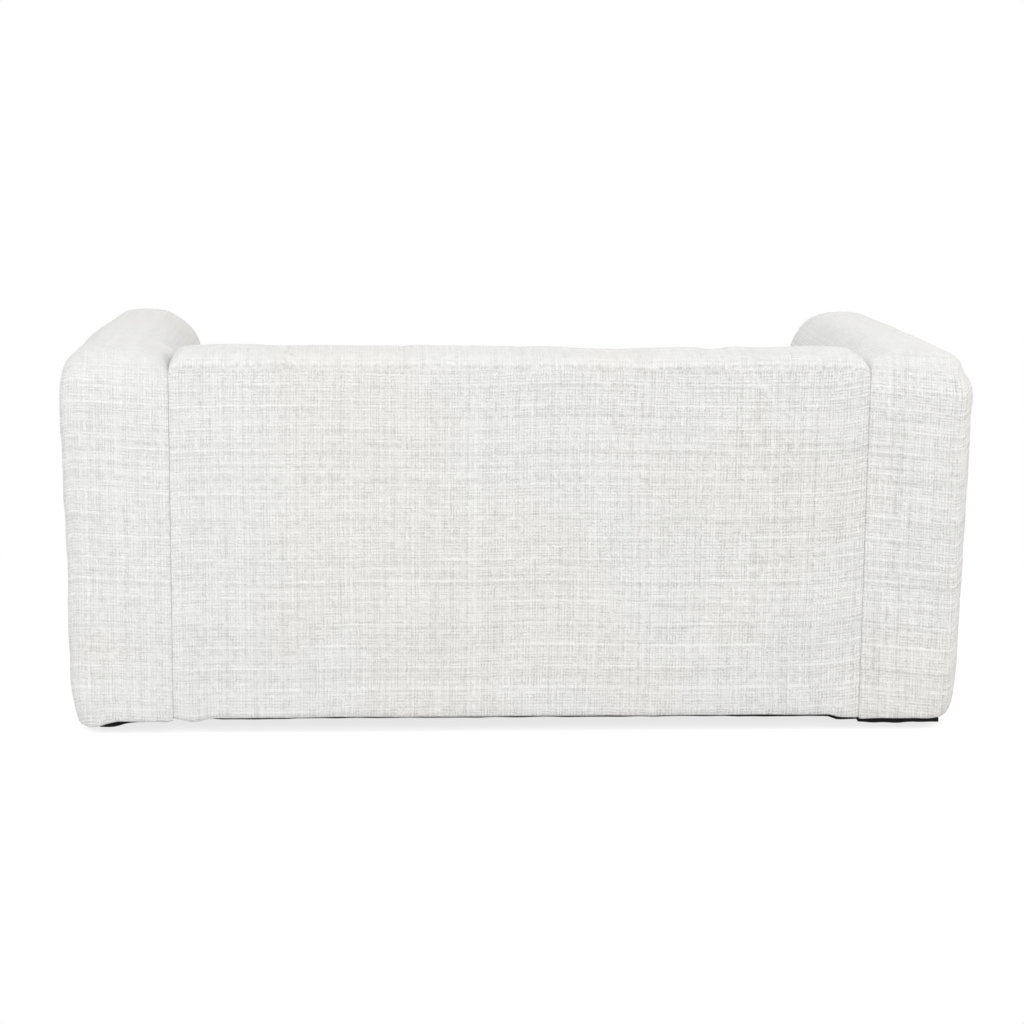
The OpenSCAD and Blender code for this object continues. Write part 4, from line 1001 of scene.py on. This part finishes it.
# Studio: pale floor, white ground behind, soft light from the camera's side
def background_rays(tree):
    """1 for the rays of the camera and of gloss and glass, which see plain white."""
    path = tree.nodes.new("ShaderNodeLightPath")
    total = path.outputs["Is Camera Ray"]
    for name in ("Is Glossy Ray", "Is Transmission Ray"):
        add = tree.nodes.new("ShaderNodeMath")
        add.operation, add.use_clamp = "ADD", True
        tree.links.new(total, add.inputs[0])
        tree.links.new(path.outputs[name], add.inputs[1])
        total = add.outputs[0]
    return total


FLOOR_HALF = 14
FLOOR_GLOW, AMBIENT = 0.78, 0.57


def build_floor():
    mesh = bpy.data.meshes.new("floor")
    h = FLOOR_HALF
    mesh.from_pydata([(-h, -h, 0), (h, -h, 0), (h, h, 0), (-h, h, 0)], [], [(0, 1, 2, 3)])
    floor = bpy.data.objects.new("floor", mesh)
    scene.collection.objects.link(floor)
    m = Nodes("studio_floor")
    grain = m.ramp(m.noise(m.place(), 3.0), 0.3, 0.7, 0.97, 1.0)
    shadow = m.new("ShaderNodeBsdfDiffuse")
    m.link(m.mix(grain, (0.30, 0.30, 0.30, 1), (0.32, 0.32, 0.32, 1)), shadow.inputs["Color"])
    glow = m.new("ShaderNodeEmission")
    glow.inputs["Color"].default_value = (1, 1, 1, 1)
    glow.inputs["Strength"].default_value = FLOOR_GLOW
    lit = m.new("ShaderNodeAddShader")
    m.link(shadow.outputs[0], lit.inputs[0])
    m.link(glow.outputs[0], lit.inputs[1])
    # Away from the sofa the floor runs into the white ground
    place = m.split(m.place())
    off_x, off_y = (m.math("MAXIMUM", m.math("SUBTRACT", m.math("ABSOLUTE", place[k]), half), 0.0)
                    for k, half in enumerate((0.8, 0.45)))
    squares = m.math("ADD", m.math("POWER", off_x, 2.0), m.math("POWER", off_y, 2.0))
    far = m.ramp(m.math("SQRT", squares), 0.05, 0.9)
    ground = m.new("ShaderNodeEmission")
    ground.inputs["Color"].default_value = (1, 1, 1, 1)
    ground.inputs["Strength"].default_value = 1.0
    blend = m.new("ShaderNodeMixShader")
    m.link(far, blend.inputs[0])
    m.link(lit.outputs[0], blend.inputs[1])
    m.link(ground.outputs[0], blend.inputs[2])
    plain = m.new("ShaderNodeBsdfDiffuse")
    plain.inputs["Color"].default_value = (0.82, 0.82, 0.82, 1)
    pick = m.new("ShaderNodeMixShader")
    m.link(background_rays(m.tree), pick.inputs[0])
    m.link(plain.outputs[0], pick.inputs[1])
    m.link(blend.outputs[0], pick.inputs[2])
    m.link(pick.outputs[0], m.tree.nodes["Material Output"].inputs["Surface"])
    m.tree.nodes.remove(m.shader)
    mesh.materials.append(m.mat)


def build_world():
    world = bpy.data.worlds.new("studio")
    scene.world = world
    world.use_nodes = True
    tree = world.node_tree
    tree.nodes.clear()
    ambient, white = tree.nodes.new("ShaderNodeBackground"), tree.nodes.new("ShaderNodeBackground")
    ambient.inputs["Color"].default_value = (1, 1, 1, 1)
    ambient.inputs["Strength"].default_value = AMBIENT
    white.inputs["Color"].default_value = (1, 1, 1, 1)
    white.inputs["Strength"].default_value = 1.0
    mix = tree.nodes.new("ShaderNodeMixShader")
    out = tree.nodes.new("ShaderNodeOutputWorld")
    tree.links.new(background_rays(tree), mix.inputs[0])
    tree.links.new(ambient.outputs[0], mix.inputs[1])
    tree.links.new(white.outputs[0], mix.inputs[2])
    tree.links.new(mix.outputs[0], out.inputs[0])


# Lamps: name, place, aim, size, watts and colour
LAMPS = (
    ("key_behind", (2.5, 4.4, 2.6), (0.2, 0, 0.3), (3.0, 2.2), 103, (0.990, 0.995, 1.0)),
    ("fill_behind", (-2.6, 4.6, 1.8), (-0.2, 0, 0.3), (2.5, 2.0), 9, (1.0, 0.93, 0.84)),
    ("side_right", (-3.4, 1.3, 2.6), (-0.8, 0.1, 0.5), (1.8, 1.8), 42, (1.0, 0.97, 0.93)),
    ("front_soft", (0.5, -4.5, 2.6), (0, 0, 0.2), (4.0, 2.0), 40, (1, 1, 1)),
    ("overhead", (0, 0.3, 3.4), (0, 0, 0), (4.0, 3.0), 23, (1, 1, 1)),
)


def add_lamp(name, at, to, size, watts, colour):
    data = bpy.data.lights.new(name, "AREA")
    data.shape = "RECTANGLE"
    data.size, data.size_y = size
    data.energy, data.color = watts, colour
    lamp = bpy.data.objects.new(name, data)
    scene.collection.objects.link(lamp)
    lamp.location = at
    lamp.rotation_euler = (Vector(to) - Vector(at)).to_track_quat("-Z", "Y").to_euler()


build_floor()
build_world()
for lamp_values in LAMPS:
    add_lamp(*lamp_values)
scene.view_settings.view_transform = "Standard"
scene.view_settings.look = "None"
